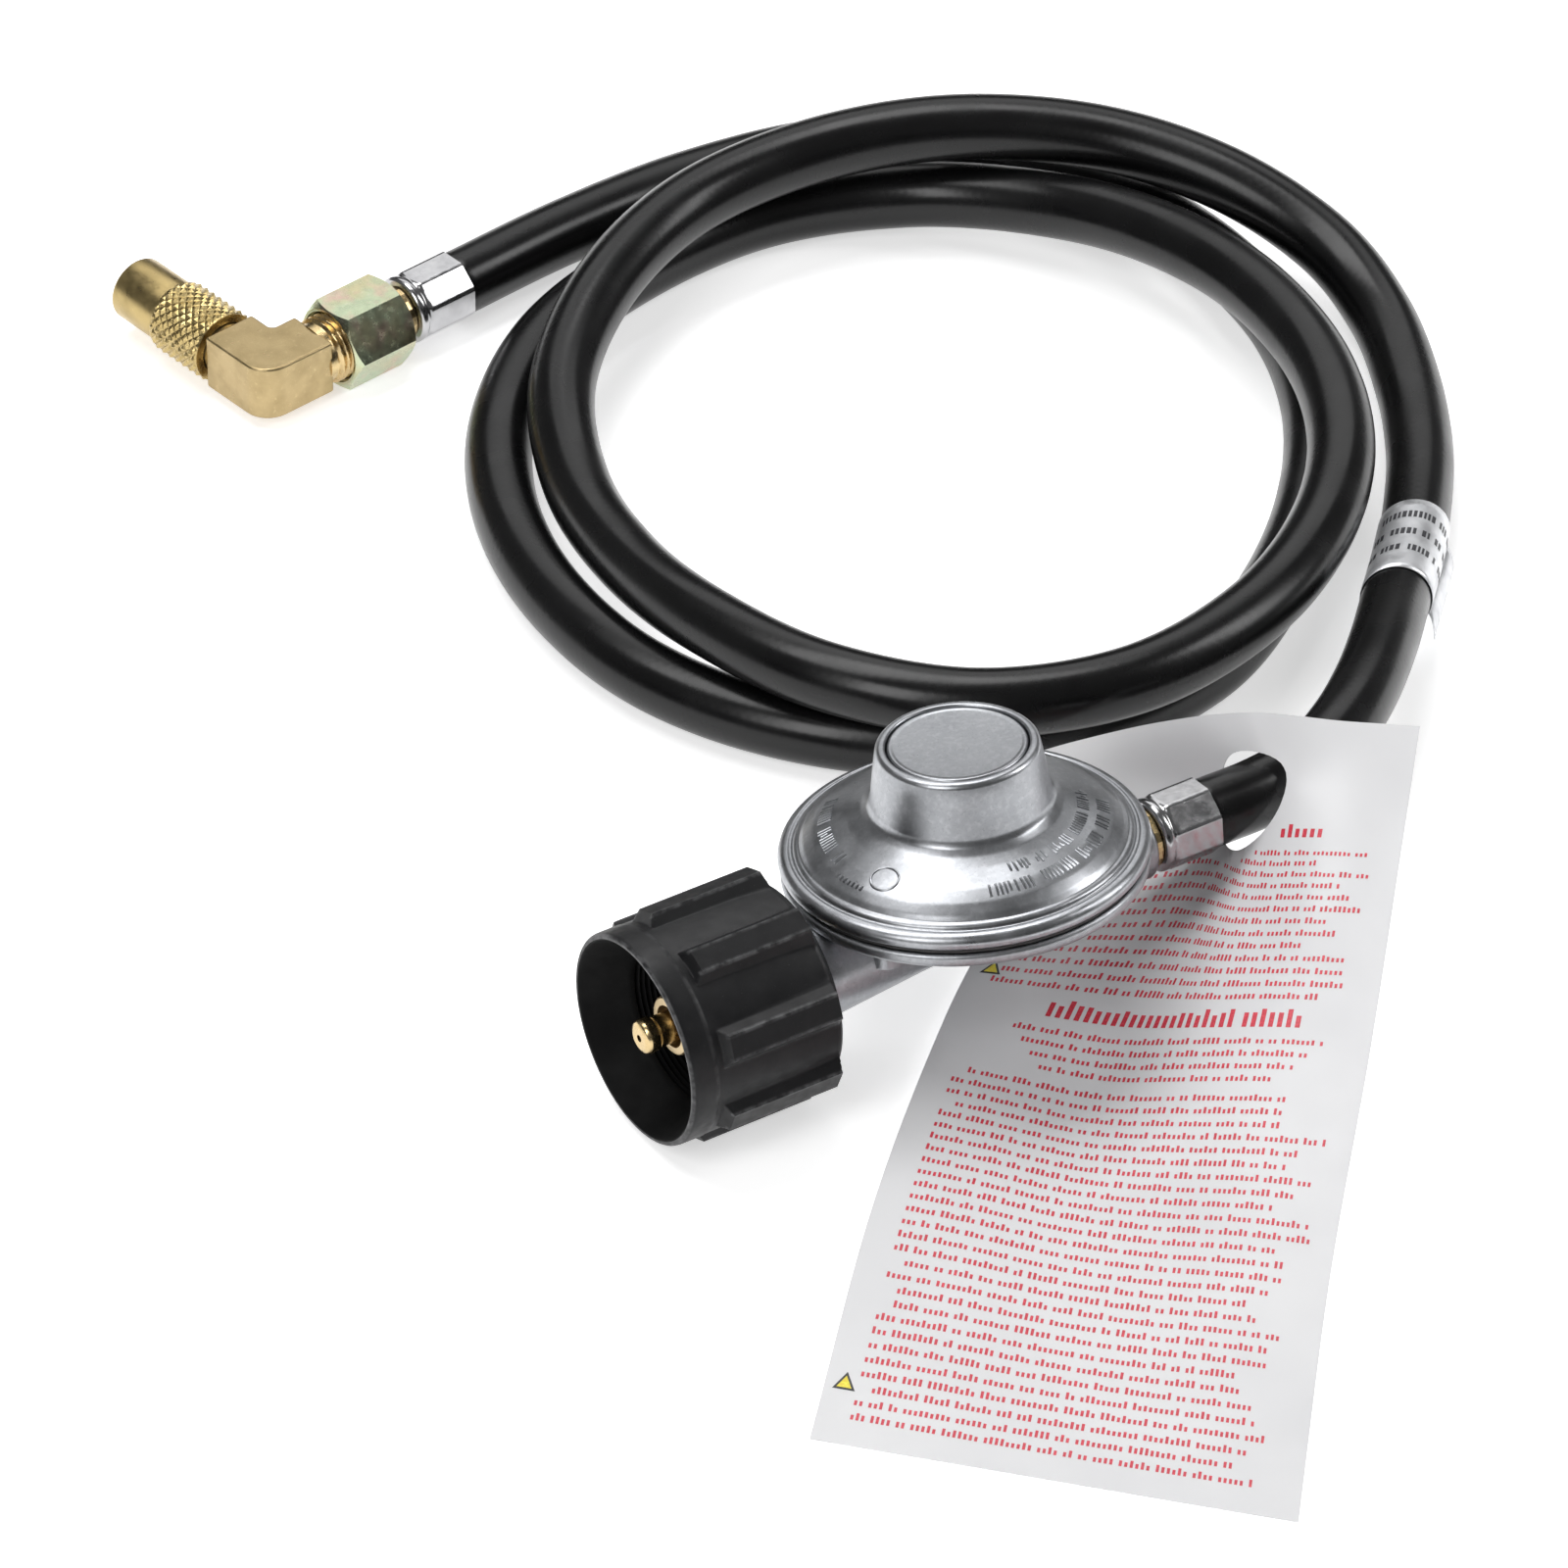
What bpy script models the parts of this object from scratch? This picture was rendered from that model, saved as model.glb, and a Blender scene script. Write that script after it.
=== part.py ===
"""Low-pressure propane regulator with its hose, coupling nut, swivel elbow and paper tag.

The row's origin is under the middle of the regulator, on the surface it lies on.  +X runs along
the gas path, from the cylinder nut to the hose, and +Z is up.  Lists of sizes are in millimetres
and the helpers turn them into metres.
"""
import math

import bmesh
import bpy
from mathutils import Matrix, Vector

MM = 0.001
HOUSING_STEPS = 32           # facets round the diaphragm housing
GAP = 0.3                    # air between two pieces that touch, mm

# driving dimensions, mm
AXIS_X = 11.4                # the diaphragm's centre, along X
AXIS_Y = -1.6                # the gas path's place across
AXIS_Z = 24.2                # height of the gas path above the surface
ROLL = -7.2                  # degrees that the dome leans back, about the gas path
RIM_R = 38.5                 # diaphragm housing's rolled rim
FLANGE_TOP = 12.4            # upper face of the lower housing, above the gas path
DOME_R = 34.6
TOWER_BASE_R = 18.75
TOWER_TOP_R = 17.0
TOWER_TOP_Z = 39.8
NUT_FRONT = -81.0            # nut's mouth, from the diaphragm's centre
NUT_REAR = -44.0
NUT_R = 23.0
NUT_RIB_R = 25.0
NUT_RIBS = 8
HOSE_R = 7.5
FERRULE_R = 8.15
FERRULE_END = 58.0
FITTING_Z = 9.6              # the far fitting lies on its nut
FITTING_ANGLE = 9.0          # degrees, the far fitting's heading in plan, back along the hose
ELBOW_X = 54.0               # from the hose's end to the elbow's corner
ELBOW_BAR = 13.4             # the forging's square section
PAPER = 0.5                  # the tag's thickness as a solid

# The hose's route, mm: out of the regulator, two and a half loops, and in to the far ferrule.
HOSE_ROUTE = [
    (69.9, -1.6, 24.2), (84, -1.6, 24.2), (98, 0.9, 24.2), (112, 8.5, 23.5), (126, 19.5, 21.5),
    (140, 33, 18.5), (153, 47, 15), (166, 61, 11.8), (181, 78, 9.6), (196, 98, 8.2),
    (209, 121, 7.8), (218, 145, 9.5), (219, 169, 14.5), (208.5, 194.5, 21.5), (189.5, 218, 26),
    (162.5, 236, 28), (132, 246.5, 26.5), (99, 246, 24.5), (68.5, 232.5, 22), (43.5, 210.5, 17.5),
    (28.5, 180.5, 14.5), (21.5, 147.5, 16.5), (21, 114.5, 21), (30, 82, 23.2), (52, 57, 23.2),
    (83.5, 46, 23.2), (116.5, 51, 23.2), (146, 67, 23.2), (169.5, 91, 23.2), (184, 121, 23.2),
    (188.5, 154.5, 22.8), (185, 187, 19.5), (175, 216, 14), (155, 240, 10), (124.5, 253.5, 8),
    (90, 251.5, 7.6), (57.5, 239.5, 7.6), (31.5, 216.5, 7.6), (14.5, 187, 7.6), (7, 154, 7.6),
    (9.5, 120.5, 7.6), (24, 90.5, 7.6), (48.5, 67, 7.6), (79.5, 54.5, 7.6), (112.5, 58, 7.6),
    (141.5, 75, 7.6), (167, 98, 7.6), (186.5, 125, 7.6), (198.5, 156, 7.6), (201, 189, 7.6),
    (194, 222, 7.6), (177, 250.5, 7.6), (150.5, 268.5, 7.6), (117, 274, 7.9), (82, 270.9, 9.3),
    (48.5, 265.6, 9.6),
]
HOSE_LEVEL = 3               # bevel resolution: ten sides
HOSE_POINTS = 78             # points on the hose's tube, about 1.5 diameters apart
LABEL_FIRST = 5              # tube points inside the foil label
LABEL_LAST = 6
LABEL_PAST = 5.0             # how far the label runs past each of them, mm

# The tag's sheet, mm: five rows from its punched end down to its free end, right edge to left edge.
TAG_ROWS = [
    [(118.4, -10.3, 33), (103, -4.3, 36.7), (86, 5, 40), (77.5, 24, 29), (65.2, 37.7, 20.2), (53, 43, 17)],
    [(95, -37, 27), (82, -27, 27), (76, -12, 20), (75.5, 3, 14), (60, 15, 9), (43, 25.5, 6)],
    [(61, -75, 15), (48, -62, 13), (37, -48, 8), (26, -35, 4), (13, -22, 4.5), (1, -9, 5)],
    [(20, -120, 5), (7.5, -106.5, 4), (-5, -93, 2), (-18, -79, 1.5), (-31, -65, 3), (-44, -51, 4)],
    [(-23.9, -172.5, 0.4), (-37, -158.5, 0.4), (-50.5, -144, 0.4), (-64, -129.5, 0.4),
     (-77.5, -115, 0.4), (-90.8, -100.7, 0.4)],
]
TAG_STEPS = 3                # quads between two rows or columns


# ------------------------------------------------------------------ scene and materials
def empty_scene():
    for item in list(bpy.data.objects):
        bpy.data.objects.remove(item, do_unlink=True)


def new_collection(name):
    group = bpy.data.collections.new(name)
    bpy.context.scene.collection.children.link(group)
    return group


empty_scene()
PARTS = new_collection("propane_regulator_hose")
CUTTERS = new_collection("cutters")


def finish(name, colour, roughness, metallic):
    """The Principled material of one sub-part."""
    material = bpy.data.materials.new(name)
    material.use_nodes = True
    shader = material.node_tree.nodes["Principled BSDF"]
    shader.inputs["Base Color"].default_value = (*colour, 1.0)
    shader.inputs["Roughness"].default_value = roughness
    shader.inputs["Metallic"].default_value = metallic
    return material


ZINC = ((0.50, 0.52, 0.54), 0.38, 1.0)
BRASS = ((0.78, 0.58, 0.28), 0.30, 1.0)
STEEL = ((0.62, 0.62, 0.63), 0.30, 1.0)
CHROME = ((0.80, 0.80, 0.81), 0.14, 1.0)
YELLOW_ZINC = ((0.72, 0.62, 0.30), 0.28, 1.0)
BLACK_PLASTIC = ((0.022, 0.022, 0.024), 0.50, 0.0)
BLACK_RUBBER = ((0.016, 0.016, 0.017), 0.36, 0.0)
FOIL = ((0.74, 0.75, 0.76), 0.26, 1.0)
WHITE_PAPER = ((0.86, 0.86, 0.86), 0.60, 0.0)


# ------------------------------------------------------------------ helpers
def pose(name, place, turn):
    """An empty that a group of sub-parts hangs from. place is in mm, turn in degrees."""
    empty = bpy.data.objects.new(name, None)
    empty.location = [value * MM for value in place]
    empty.rotation_euler = [math.radians(value) for value in turn]
    CUTTERS.objects.link(empty)
    empty.hide_render = True
    return empty


def add(name, mesh, look=None, parent=None, turn=(0, 0, 0), place=(0, 0, 0)):
    """A new object: a sub-part with its own material where a look is given, or else a cutter."""
    item = bpy.data.objects.new(name, mesh)
    item.location = [value * MM for value in place]
    item.rotation_euler = [math.radians(value) for value in turn]
    item.parent = parent
    if look:
        PARTS.objects.link(item)
        item.data.materials.append(finish(name, *look))
    else:
        CUTTERS.objects.link(item)
        item.hide_render = True
        item.display_type = "WIRE"
    return item


ALONG_X = (0, 90, 0)         # turns a shape made about Z so that its Z runs along X


def turned(name, profile, look=None, parent=None, turn=(0, 0, 0), place=(0, 0, 0), steps=32, ring=False):
    """A turned piece: (radius, height) points down its outer side, then up a ring's inner side."""
    mesh = bpy.data.meshes.new(name)
    points = [(radius * MM, 0, height * MM) for radius, height in profile]
    edges = [(i, i + 1) for i in range(len(points) - 1)]
    if ring:
        edges.append((len(points) - 1, 0))
    mesh.from_pydata(points, edges, [])
    item = add(name, mesh, look, parent, turn, place)
    screw = item.modifiers.new("turn", "SCREW")
    screw.axis = "Z"
    screw.angle = math.tau
    screw.steps = steps
    screw.render_steps = steps
    screw.use_merge_vertices = True
    screw.merge_threshold = 0.00001
    screw.use_smooth_shade = True
    return item


def rod(name, radius, low, high, look=None, parent=None, turn=(0, 0, 0), place=(0, 0, 0), steps=20):
    """A plain round bar between two heights."""
    profile = [(0, high), (radius, high), (radius, low), (0, low)]
    return turned(name, profile, look, parent, turn, place, steps)


def tube(name, outer, inner, low, high, look=None, parent=None, turn=(0, 0, 0), place=(0, 0, 0), steps=28):
    profile = [(outer, high), (outer, low), (inner, low), (inner, high)]
    return turned(name, profile, look, parent, turn, place, steps, ring=True)


def block(name, size, centre, look=None, parent=None, turn=(0, 0, 0), place=(0, 0, 0)):
    """A box of a size about a centre, in mm."""
    mesh = bpy.data.meshes.new(name)
    shape = bmesh.new()
    bmesh.ops.create_cube(shape, size=1.0)
    scale = Matrix.Diagonal((size[0] * MM, size[1] * MM, size[2] * MM, 1))
    bmesh.ops.transform(shape, matrix=Matrix.Translation(Vector(centre) * MM) @ scale, verts=shape.verts)
    shape.to_mesh(mesh)
    shape.free()
    return add(name, mesh, look, parent, turn, place)


def prism(name, outline, low, high, look=None, parent=None, turn=(0, 0, 0), place=(0, 0, 0)):
    """A flat outline, counter-clockwise in mm, pushed from one height to another."""
    mesh = bpy.data.meshes.new(name)
    shape = bmesh.new()
    corners = [shape.verts.new((x * MM, y * MM, low * MM)) for x, y in outline]
    base = shape.faces.new(corners)
    pushed = bmesh.ops.extrude_face_region(shape, geom=[base])
    top = [item for item in pushed["geom"] if isinstance(item, bmesh.types.BMVert)]
    bmesh.ops.translate(shape, verts=top, vec=(0, 0, (high - low) * MM))
    bmesh.ops.recalc_face_normals(shape, faces=shape.faces)
    shape.to_mesh(mesh)
    shape.free()
    return add(name, mesh, look, parent, turn, place)


def combine(item, tool, operation):
    modifier = item.modifiers.new(operation.lower(), "BOOLEAN")
    modifier.operation = operation
    modifier.object = tool
    modifier.solver = "EXACT"


def cut(item, *tools):
    for tool in tools:
        combine(item, tool, "DIFFERENCE")


def join(item, *tools):
    for tool in tools:
        combine(item, tool, "UNION")


def polygon(sides, across_flats, start=0.0):
    radius = across_flats / 2 / math.cos(math.pi / sides)
    return [(radius * math.cos(start + math.tau * k / sides),
             radius * math.sin(start + math.tau * k / sides)) for k in range(sides)]


def smooth_line(points, per_span=12):
    """Points on the smooth curve (Catmull-Rom) through a route's own points."""
    ends = [points[0] * 2 - points[1], *points, points[-1] * 2 - points[-2]]
    line = []
    for k in range(1, len(ends) - 2):
        a, b, c, d = ends[k - 1:k + 3]
        for step in range(per_span):
            t = step / per_span
            line.append(0.5 * (b * 2 + (c - a) * t + (a * 2 - b * 5 + c * 4 - d) * t ** 2
                               + (b * 3 - a - c * 3 + d) * t ** 3))
    line.append(points[-1])
    return line


def even_points(line, count):
    """The same line, read at evenly spaced points."""
    reach = [0.0]
    for a, b in zip(line, line[1:]):
        reach.append(reach[-1] + (b - a).length)
    points = []
    k = 0
    for step in range(count):
        target = reach[-1] * step / (count - 1)
        while k < len(line) - 2 and reach[k + 1] < target:
            k += 1
        share = (target - reach[k]) / (reach[k + 1] - reach[k])
        points.append(line[k].lerp(line[k + 1], min(share, 1.0)))
    return points


def bent_tube(name, points, radius, look=None, parent=None, sides_level=4):
    """A curve through points in metres, thick as a tube, with its ends filled."""
    curve = bpy.data.curves.new(name, "CURVE")
    curve.dimensions = "3D"
    curve.bevel_depth = radius * MM
    curve.bevel_resolution = sides_level
    curve.use_fill_caps = True
    spline = curve.splines.new("POLY")
    spline.points.add(len(points) - 1)
    for slot, point in zip(spline.points, points):
        slot.co = (*point, 1.0)
    return add(name, curve, look, parent)


def as_mesh(item, look=None):
    """A curve object turned into a mesh object with welded caps, so that a Boolean can use it."""
    bpy.context.view_layer.update()
    ready = item.evaluated_get(bpy.context.evaluated_depsgraph_get())
    mesh = bpy.data.meshes.new_from_object(ready)
    shape = bmesh.new()
    shape.from_mesh(mesh)
    bmesh.ops.remove_doubles(shape, verts=shape.verts, dist=0.00001)
    bmesh.ops.recalc_face_normals(shape, faces=shape.faces)
    shape.to_mesh(mesh)
    shape.free()
    name = item.name
    place = item.matrix_world.copy()
    bpy.data.objects.remove(item, do_unlink=True)
    mesh.materials.clear()
    solid = add(name, mesh, look)
    solid.matrix_world = place
    return solid


# ------------------------------------------------------------------ the regulator's housing
LEVER_X = -11.4              # the lever's pin, from the diaphragm's centre
LEVER_Z = -2.6
BRACKET_SCREW_X = -5.6
GAS_PATH = pose("gas_path", (AXIS_X, AXIS_Y, AXIS_Z), (ROLL, 0, 0))


def regulator_body():
    """Die-cast lower half: flange, shallow bowl, and the tube that the gas runs through."""
    body = turned("regulator_body", [
        (31.2, FLANGE_TOP), (37.6, FLANGE_TOP), (38.1, 11.9), (38.1, 10.2), (37.2, 9.3), (33, 8.0),
        (28, 5.0), (20, -1.0), (12, -6.0), (6, -8.2), (0, -8.4), (0, -4.0), (7, -3.6), (12, -1.5),
        (20, 3.0), (26.5, 7.0), (30, 9.0), (31.2, 10.0)], ZINC, GAS_PATH, steps=HOUSING_STEPS, ring=True)
    inlet = turned("inlet_boss", [
        (0, 3.0), (7.8, 3.0), (8.6, -14.0), (10.4, -36.0), (10.4, -40.0), (9.6, -41.0), (0, -41.0)],
        None, GAS_PATH, ALONG_X, steps=28)
    outlet = turned("outlet_boss", [
        (0, 42.5), (7.4, 42.5), (8.2, 41.7), (8.2, -2.0), (0, -2.0)], None, GAS_PATH, ALONG_X, steps=24)
    join(body, inlet, outlet)
    bowl = rod("bowl_bore", 13.9, -3.2, FLANGE_TOP + 1.0, None, GAS_PATH, steps=28)
    bore = turned("gas_bore", [
        (0, 45.0), (5.3, 45.0), (5.3, 31.0), (2.6, 31.0), (2.6, 14.0), (6.6, 14.0), (6.6, -23.0),
        (5.3, -23.0), (5.3, -28.0), (6.9, -28.0), (6.9, -42.0), (0, -42.0)],
        None, GAS_PATH, ALONG_X, steps=20)
    screw_hole = rod("body_screw_hole", 1.5, -7.4, -5.0, None, GAS_PATH, place=(BRACKET_SCREW_X, 0, 0), steps=12)
    cut(body, screw_hole, bowl, bore)
    return body


def bonnet():
    """Die-cast dome with a rolled rim and the tower that holds the spring."""
    cover = turned("bonnet", [
        (14.9, TOWER_TOP_Z), (16.3, TOWER_TOP_Z), (TOWER_TOP_R, 39.0), (TOWER_BASE_R, 27.0), (20.6, 25.2),
        (23.5, 23.7), (28, 21.9), (31.5, 20.0), (33.6, 18.2), (DOME_R, 16.9), (36.4, 16.9), (37.9, 16.3),
        (RIM_R, 15.2), (38.3, 13.9), (37.8, 13.6), (31.2, 13.6), (31.2, 16.2), (29, 18.3), (22, 21.0),
        (18.5, 22.6), (16.2, 24.5), (14.6, 27.0), (14.6, 36.9), (14.9, 37.3)],
        ZINC, GAS_PATH, steps=HOUSING_STEPS, ring=True)
    vent = rod("vent", 1.2, 15.0, 30.0, None, GAS_PATH, place=(0, 27.0, 0), steps=12)
    cut(cover, vent)
    return cover


def diaphragm_parts():
    tube("diaphragm", 37.4, 9.0, 12.7, 13.3, BLACK_RUBBER, GAS_PATH, steps=HOUSING_STEPS)
    turned("diaphragm_plate", [
        (2.4, 16.2), (9.6, 16.2), (9.9, 15.9), (16.5, 15.9), (16.5, 15.0), (2.4, 15.0)],
        STEEL, GAS_PATH, steps=28, ring=True)
    turned("diaphragm_stem", [
        (0, 18.2), (4.0, 18.2), (4.0, 16.5), (2.1, 16.5), (2.1, 9.0), (3.1, 9.0), (3.1, 8.2), (1.1, 8.2),
        (1.1, 6.4), (3.1, 6.4), (3.1, 5.6), (0, 5.6)], BRASS, GAS_PATH, steps=16)


def spring(name, coil_r, wire_r, low, high, turns, look, parent):
    """A compression spring about Z, as a wire along a helix."""
    per_turn = 12
    count = int(turns * per_turn) + 1
    points = []
    for k in range(count):
        angle = math.tau * k / per_turn
        height = low + wire_r + (high - low - 2 * wire_r) * k / (count - 1)
        points.append(Vector((coil_r * math.cos(angle), coil_r * math.sin(angle), height)) * MM)
    return bent_tube(name, points, wire_r, look, parent, sides_level=2)


def tower_parts():
    turned("tower_cap", [
        (0, 39.6), (14.2, 39.6), (14.5, 39.3), (14.5, 37.6), (13.6, 37.0), (0, 37.0)],
        ZINC, GAS_PATH)
    screw = turned("adjusting_screw", [
        (0, 35.5), (13.8, 35.5), (14.2, 35.1), (14.2, 31.6), (13.8, 31.2), (0, 31.2)],
        STEEL, GAS_PATH, steps=28)
    key = prism("hex_key", polygon(6, 8.0), 32.6, 36.5, None, GAS_PATH)
    cut(screw, key)
    spring("main_spring", 7.6, 0.9, 16.6, 30.9, 4.5, STEEL, GAS_PATH)


# ------------------------------------------------------------------ the valve
def valve_parts():
    """The lever stands on its pin, below the valve: the diaphragm's rise tips it against the valve."""
    turned("orifice_seat", [
        (1.6, -20.9), (3.2, -20.9), (4.0, -21.6), (5.0, -21.6), (5.0, -27.4), (1.6, -27.4)],
        BRASS, GAS_PATH, ALONG_X, steps=16, ring=True)
    rod("valve_seat_disc", 3.0, -20.6, -18.9, BLACK_RUBBER, GAS_PATH, ALONG_X, steps=16)
    turned("valve_plunger", [
        (0, -13.4), (1.4, -13.4), (2.2, -14.0), (2.2, -15.2), (3.6, -15.2), (3.6, -18.6), (0, -18.6)],
        BRASS, GAS_PATH, ALONG_X, steps=16)
    lever = prism("lever", [
        (-13.1, -3.6), (-12.5, -4.2), (-10.3, -4.2), (-9.7, -3.6), (-9.7, -1.6), (-10.6, -0.6),
        (-10.6, 5.4), (-9.4, 6.8), (3.2, 6.8), (3.2, 7.8), (-10.2, 7.8), (-12.0, 5.8), (-13.1, 2.6)],
        -2.7, 2.7, STEEL, GAS_PATH, (90, 0, 0))
    fork = block("lever_fork", (6.5, 2.8, 4.0), (1.0, 0, 7.3), None, GAS_PATH)
    eye = rod("lever_eye", 1.2, -4.0, 4.0, None, GAS_PATH, (90, 0, 0), (LEVER_X, 0, LEVER_Z))
    cut(lever, eye, fork)
    rod("lever_pin", 1.0, -4.6, 4.6, STEEL, GAS_PATH, (90, 0, 0), (LEVER_X, 0, LEVER_Z))
    bracket = block("lever_bracket", (9.6, 6.6, 0.7), (-8.4, 0, -4.95), STEEL, GAS_PATH)
    for side in (-1, 1):
        ear = block("bracket_ear", (3.6, 0.9, 4.3), (LEVER_X, side * 3.5, -2.75), None, GAS_PATH)
        join(bracket, ear)
    hole = rod("bracket_hole", 1.0 + GAP, -6.0, 6.0, None, GAS_PATH, (90, 0, 0), (LEVER_X, 0, LEVER_Z))
    screw_hole = rod("screw_hole", 1.2 + GAP, -7.0, -3.0, None, GAS_PATH, place=(BRACKET_SCREW_X, 0, 0))
    cut(bracket, hole, screw_hole)
    turned("bracket_screw", [
        (0, -3.4), (1.6, -3.4), (2.0, -3.8), (2.0, -4.3), (1.2, -4.3), (1.2, -7.1), (0, -7.1)],
        STEEL, GAS_PATH, place=(BRACKET_SCREW_X, 0, 0), steps=16)


# ------------------------------------------------------------------ the cylinder end
def coupling_nut():
    """Hand nut: a cup with eight raised grips, threaded inside, free to spin on the nipple."""
    nut = turned("coupling_nut", [
        (21.4, NUT_FRONT), (17.0, -72.0), (16.6, -71.0), (16.6, -53.0), (11.6, -53.0), (11.6, -47.0),
        (7.4, -47.0), (7.4, NUT_REAR), (20.5, NUT_REAR), (21.8, NUT_REAR - 1.2),
        (NUT_R - 0.3, NUT_REAR - 9.0), (NUT_R, NUT_FRONT + 6), (NUT_R, NUT_FRONT + 0.8),
        (NUT_R - 0.7, NUT_FRONT)][::-1], BLACK_PLASTIC, GAS_PATH, ALONG_X, steps=32, ring=True)
    half = math.degrees(math.pi / NUT_RIBS)
    for k in range(NUT_RIBS):
        rib = nut_rib("nut_rib_%d" % k, half + 2 * half * k - ROLL)
        join(nut, rib)
    return nut


def nut_rib(name, angle):
    """One grip: a long raised bar with sloping sides and a sloping front."""
    mesh = bpy.data.meshes.new(name)
    shape = bmesh.new()
    bmesh.ops.create_cube(shape, size=1.0)
    length = NUT_REAR - NUT_FRONT - 6.5
    middle = (NUT_REAR + NUT_FRONT + 4.5) / 2
    for corner in shape.verts:
        top = corner.co.z > 0
        front = corner.co.x < 0
        half_width = 2.75 if top else 6.2
        reach = length / 2 - (3.5 if top and front else 0) - (1.2 if top and not front else 0)
        corner.co.x = (middle + reach * (-1 if front else 1)) * MM
        corner.co.y = half_width * (1 if corner.co.y > 0 else -1) * MM
        corner.co.z = (NUT_RIB_R if top else 19.0) * MM
    bmesh.ops.rotate(shape, verts=shape.verts, matrix=Matrix.Rotation(math.radians(angle), 3, "X"))
    shape.to_mesh(mesh)
    shape.free()
    return add(name, mesh, None, GAS_PATH)


def nipple_parts():
    turned("inlet_nipple", [
        (4.5, -72.6), (6.0, -72.6), (6.2, -72.4), (6.4, -71.0), (9.8, -62.5), (10.0, -61.0), (10.0, -55.5),
        (11.0, -55.0), (11.0, -51.6), (7.1, -51.6), (7.1, -41.3), (6.6, -41.3), (6.6, -28.2), (2.6, -28.2),
        (2.6, -62.0), (4.5, -63.0)][::-1],
        BRASS, GAS_PATH, ALONG_X, steps=28, ring=True)
    turned("probe", [
        (0.8, -79.8), (2.6, -79.8), (3.75, -78.7), (3.75, -76.6), (3.4, -76.2), (3.4, -67.0), (4.2, -66.6),
        (4.2, -64.5), (2.9, -64.5), (2.9, -71.0), (0.8, -71.6)][::-1],
        BRASS, GAS_PATH, ALONG_X, steps=20, ring=True)
    tube("thermal_bushing", 11.2, 7.5, -51.3, -47.4, BLACK_PLASTIC, GAS_PATH, ALONG_X)
    turned("flow_plunger", [
        (0, -33.2), (1.0, -33.2), (1.0, -38.2), (2.1, -38.6), (2.1, -41.6), (0.6, -43.0), (0, -43.0)],
        BRASS, GAS_PATH, ALONG_X, steps=16)


# ------------------------------------------------------------------ the hose end on the regulator
def outlet_parts():
    turned("hose_barb", [
        (1.9, 31.5), (5.0, 31.5), (5.0, 42.8), (6.6, 42.8), (6.6, 44.0), (4.3, 44.0), (4.3, 57.4),
        (1.9, 57.4)][::-1], BRASS, GAS_PATH, ALONG_X, steps=20, ring=True)
    ferrule("regulator_ferrule", 44.3, FERRULE_END, GAS_PATH, ALONG_X, 0.0, True)


def ferrule(name, low, high, parent, turn, start, eye):
    """A crimped sleeve: round collar, then eight pressed flats."""
    place = (start, 0, 0)
    sleeve = prism(name, polygon(8, 2 * FERRULE_R - 0.6, math.pi / 8), low + 1.5, high, CHROME, parent,
                   turn, place)
    collar = turned(name + "_collar", [
        (0, low + 2.0), (8.0, low + 2.0), (8.0, low + 0.5), (7.4, low), (0, low)], None, parent, turn,
        place, steps=24)
    join(sleeve, collar)
    bore = turned(name + "_bore", [
        (0, high + 1.0), (7.0, high + 1.0), (7.0, low + 1.2), (4.6, low + 1.2), (4.6, low - 1.0), (0, low - 1.0)],
        None, parent, turn, place, steps=24)
    cut(sleeve, bore)
    if eye:
        peep = rod(name + "_eye", 0.8, 0.0, 12.0, None, parent, (47, 0, 0), (low + 4.2, 0, 0), steps=10)
        cut(sleeve, peep)


# ------------------------------------------------------------------ the hose and what is on it
def hose_points():
    """The tube's points. The smooth curve may dip between two route points, so it is kept off the floor."""
    line = smooth_line([Vector(point) * MM for point in HOSE_ROUTE])
    for point in line:
        point.z = max(point.z, (HOSE_R + 0.02) * MM)
    return even_points(line, HOSE_POINTS)


def hose_parts():
    points = hose_points()
    bent_tube("hose", points, HOSE_R, BLACK_RUBBER, sides_level=HOSE_LEVEL)
    stretch = points[LABEL_FIRST - 2:LABEL_LAST + 3]
    before, first, last, after = points[LABEL_FIRST - 1:LABEL_LAST + 2]
    band = [first + (before - first).normalized() * LABEL_PAST * MM, first, last,
            last + (after - last).normalized() * LABEL_PAST * MM]
    label = as_mesh(bent_tube("foil_label", band, HOSE_R + 0.75, sides_level=HOSE_LEVEL), FOIL)
    core = as_mesh(bent_tube("label_core", stretch, HOSE_R + 0.4, sides_level=HOSE_LEVEL))
    cut(label, core)


def tag_surface():
    """The tag's middle surface: rows of points, smoothed both ways."""
    rows = [smooth_line([Vector(point) * MM for point in row], TAG_STEPS) for row in TAG_ROWS]
    columns = [smooth_line([row[k] for row in rows], TAG_STEPS) for k in range(len(rows[0]))]
    return columns


def paper_tag():
    """A printed card of 100 by 228 mm, threaded on the hose through its punched hole."""
    columns = tag_surface()
    shape = bmesh.new()
    grid = [[shape.verts.new(point) for point in column] for column in columns]
    for left, right in zip(grid, grid[1:]):
        for a, b, c, d in zip(left, right, right[1:], left[1:]):
            shape.faces.new((a, b, c, d))
    bmesh.ops.recalc_face_normals(shape, faces=shape.faces)
    mesh = bpy.data.meshes.new("paper_tag")
    shape.to_mesh(mesh)
    shape.free()
    tag = add("paper_tag", mesh, WHITE_PAPER)
    solidify = tag.modifiers.new("paper", "SOLIDIFY")
    solidify.thickness = PAPER * MM
    solidify.offset = 0.0
    through = [Vector((AXIS_X + 40, AXIS_Y, AXIS_Z)) * MM, *hose_points()[:5]]
    punch = as_mesh(bent_tube("tag_punch", through, 9.2))
    cut(tag, punch)


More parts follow.
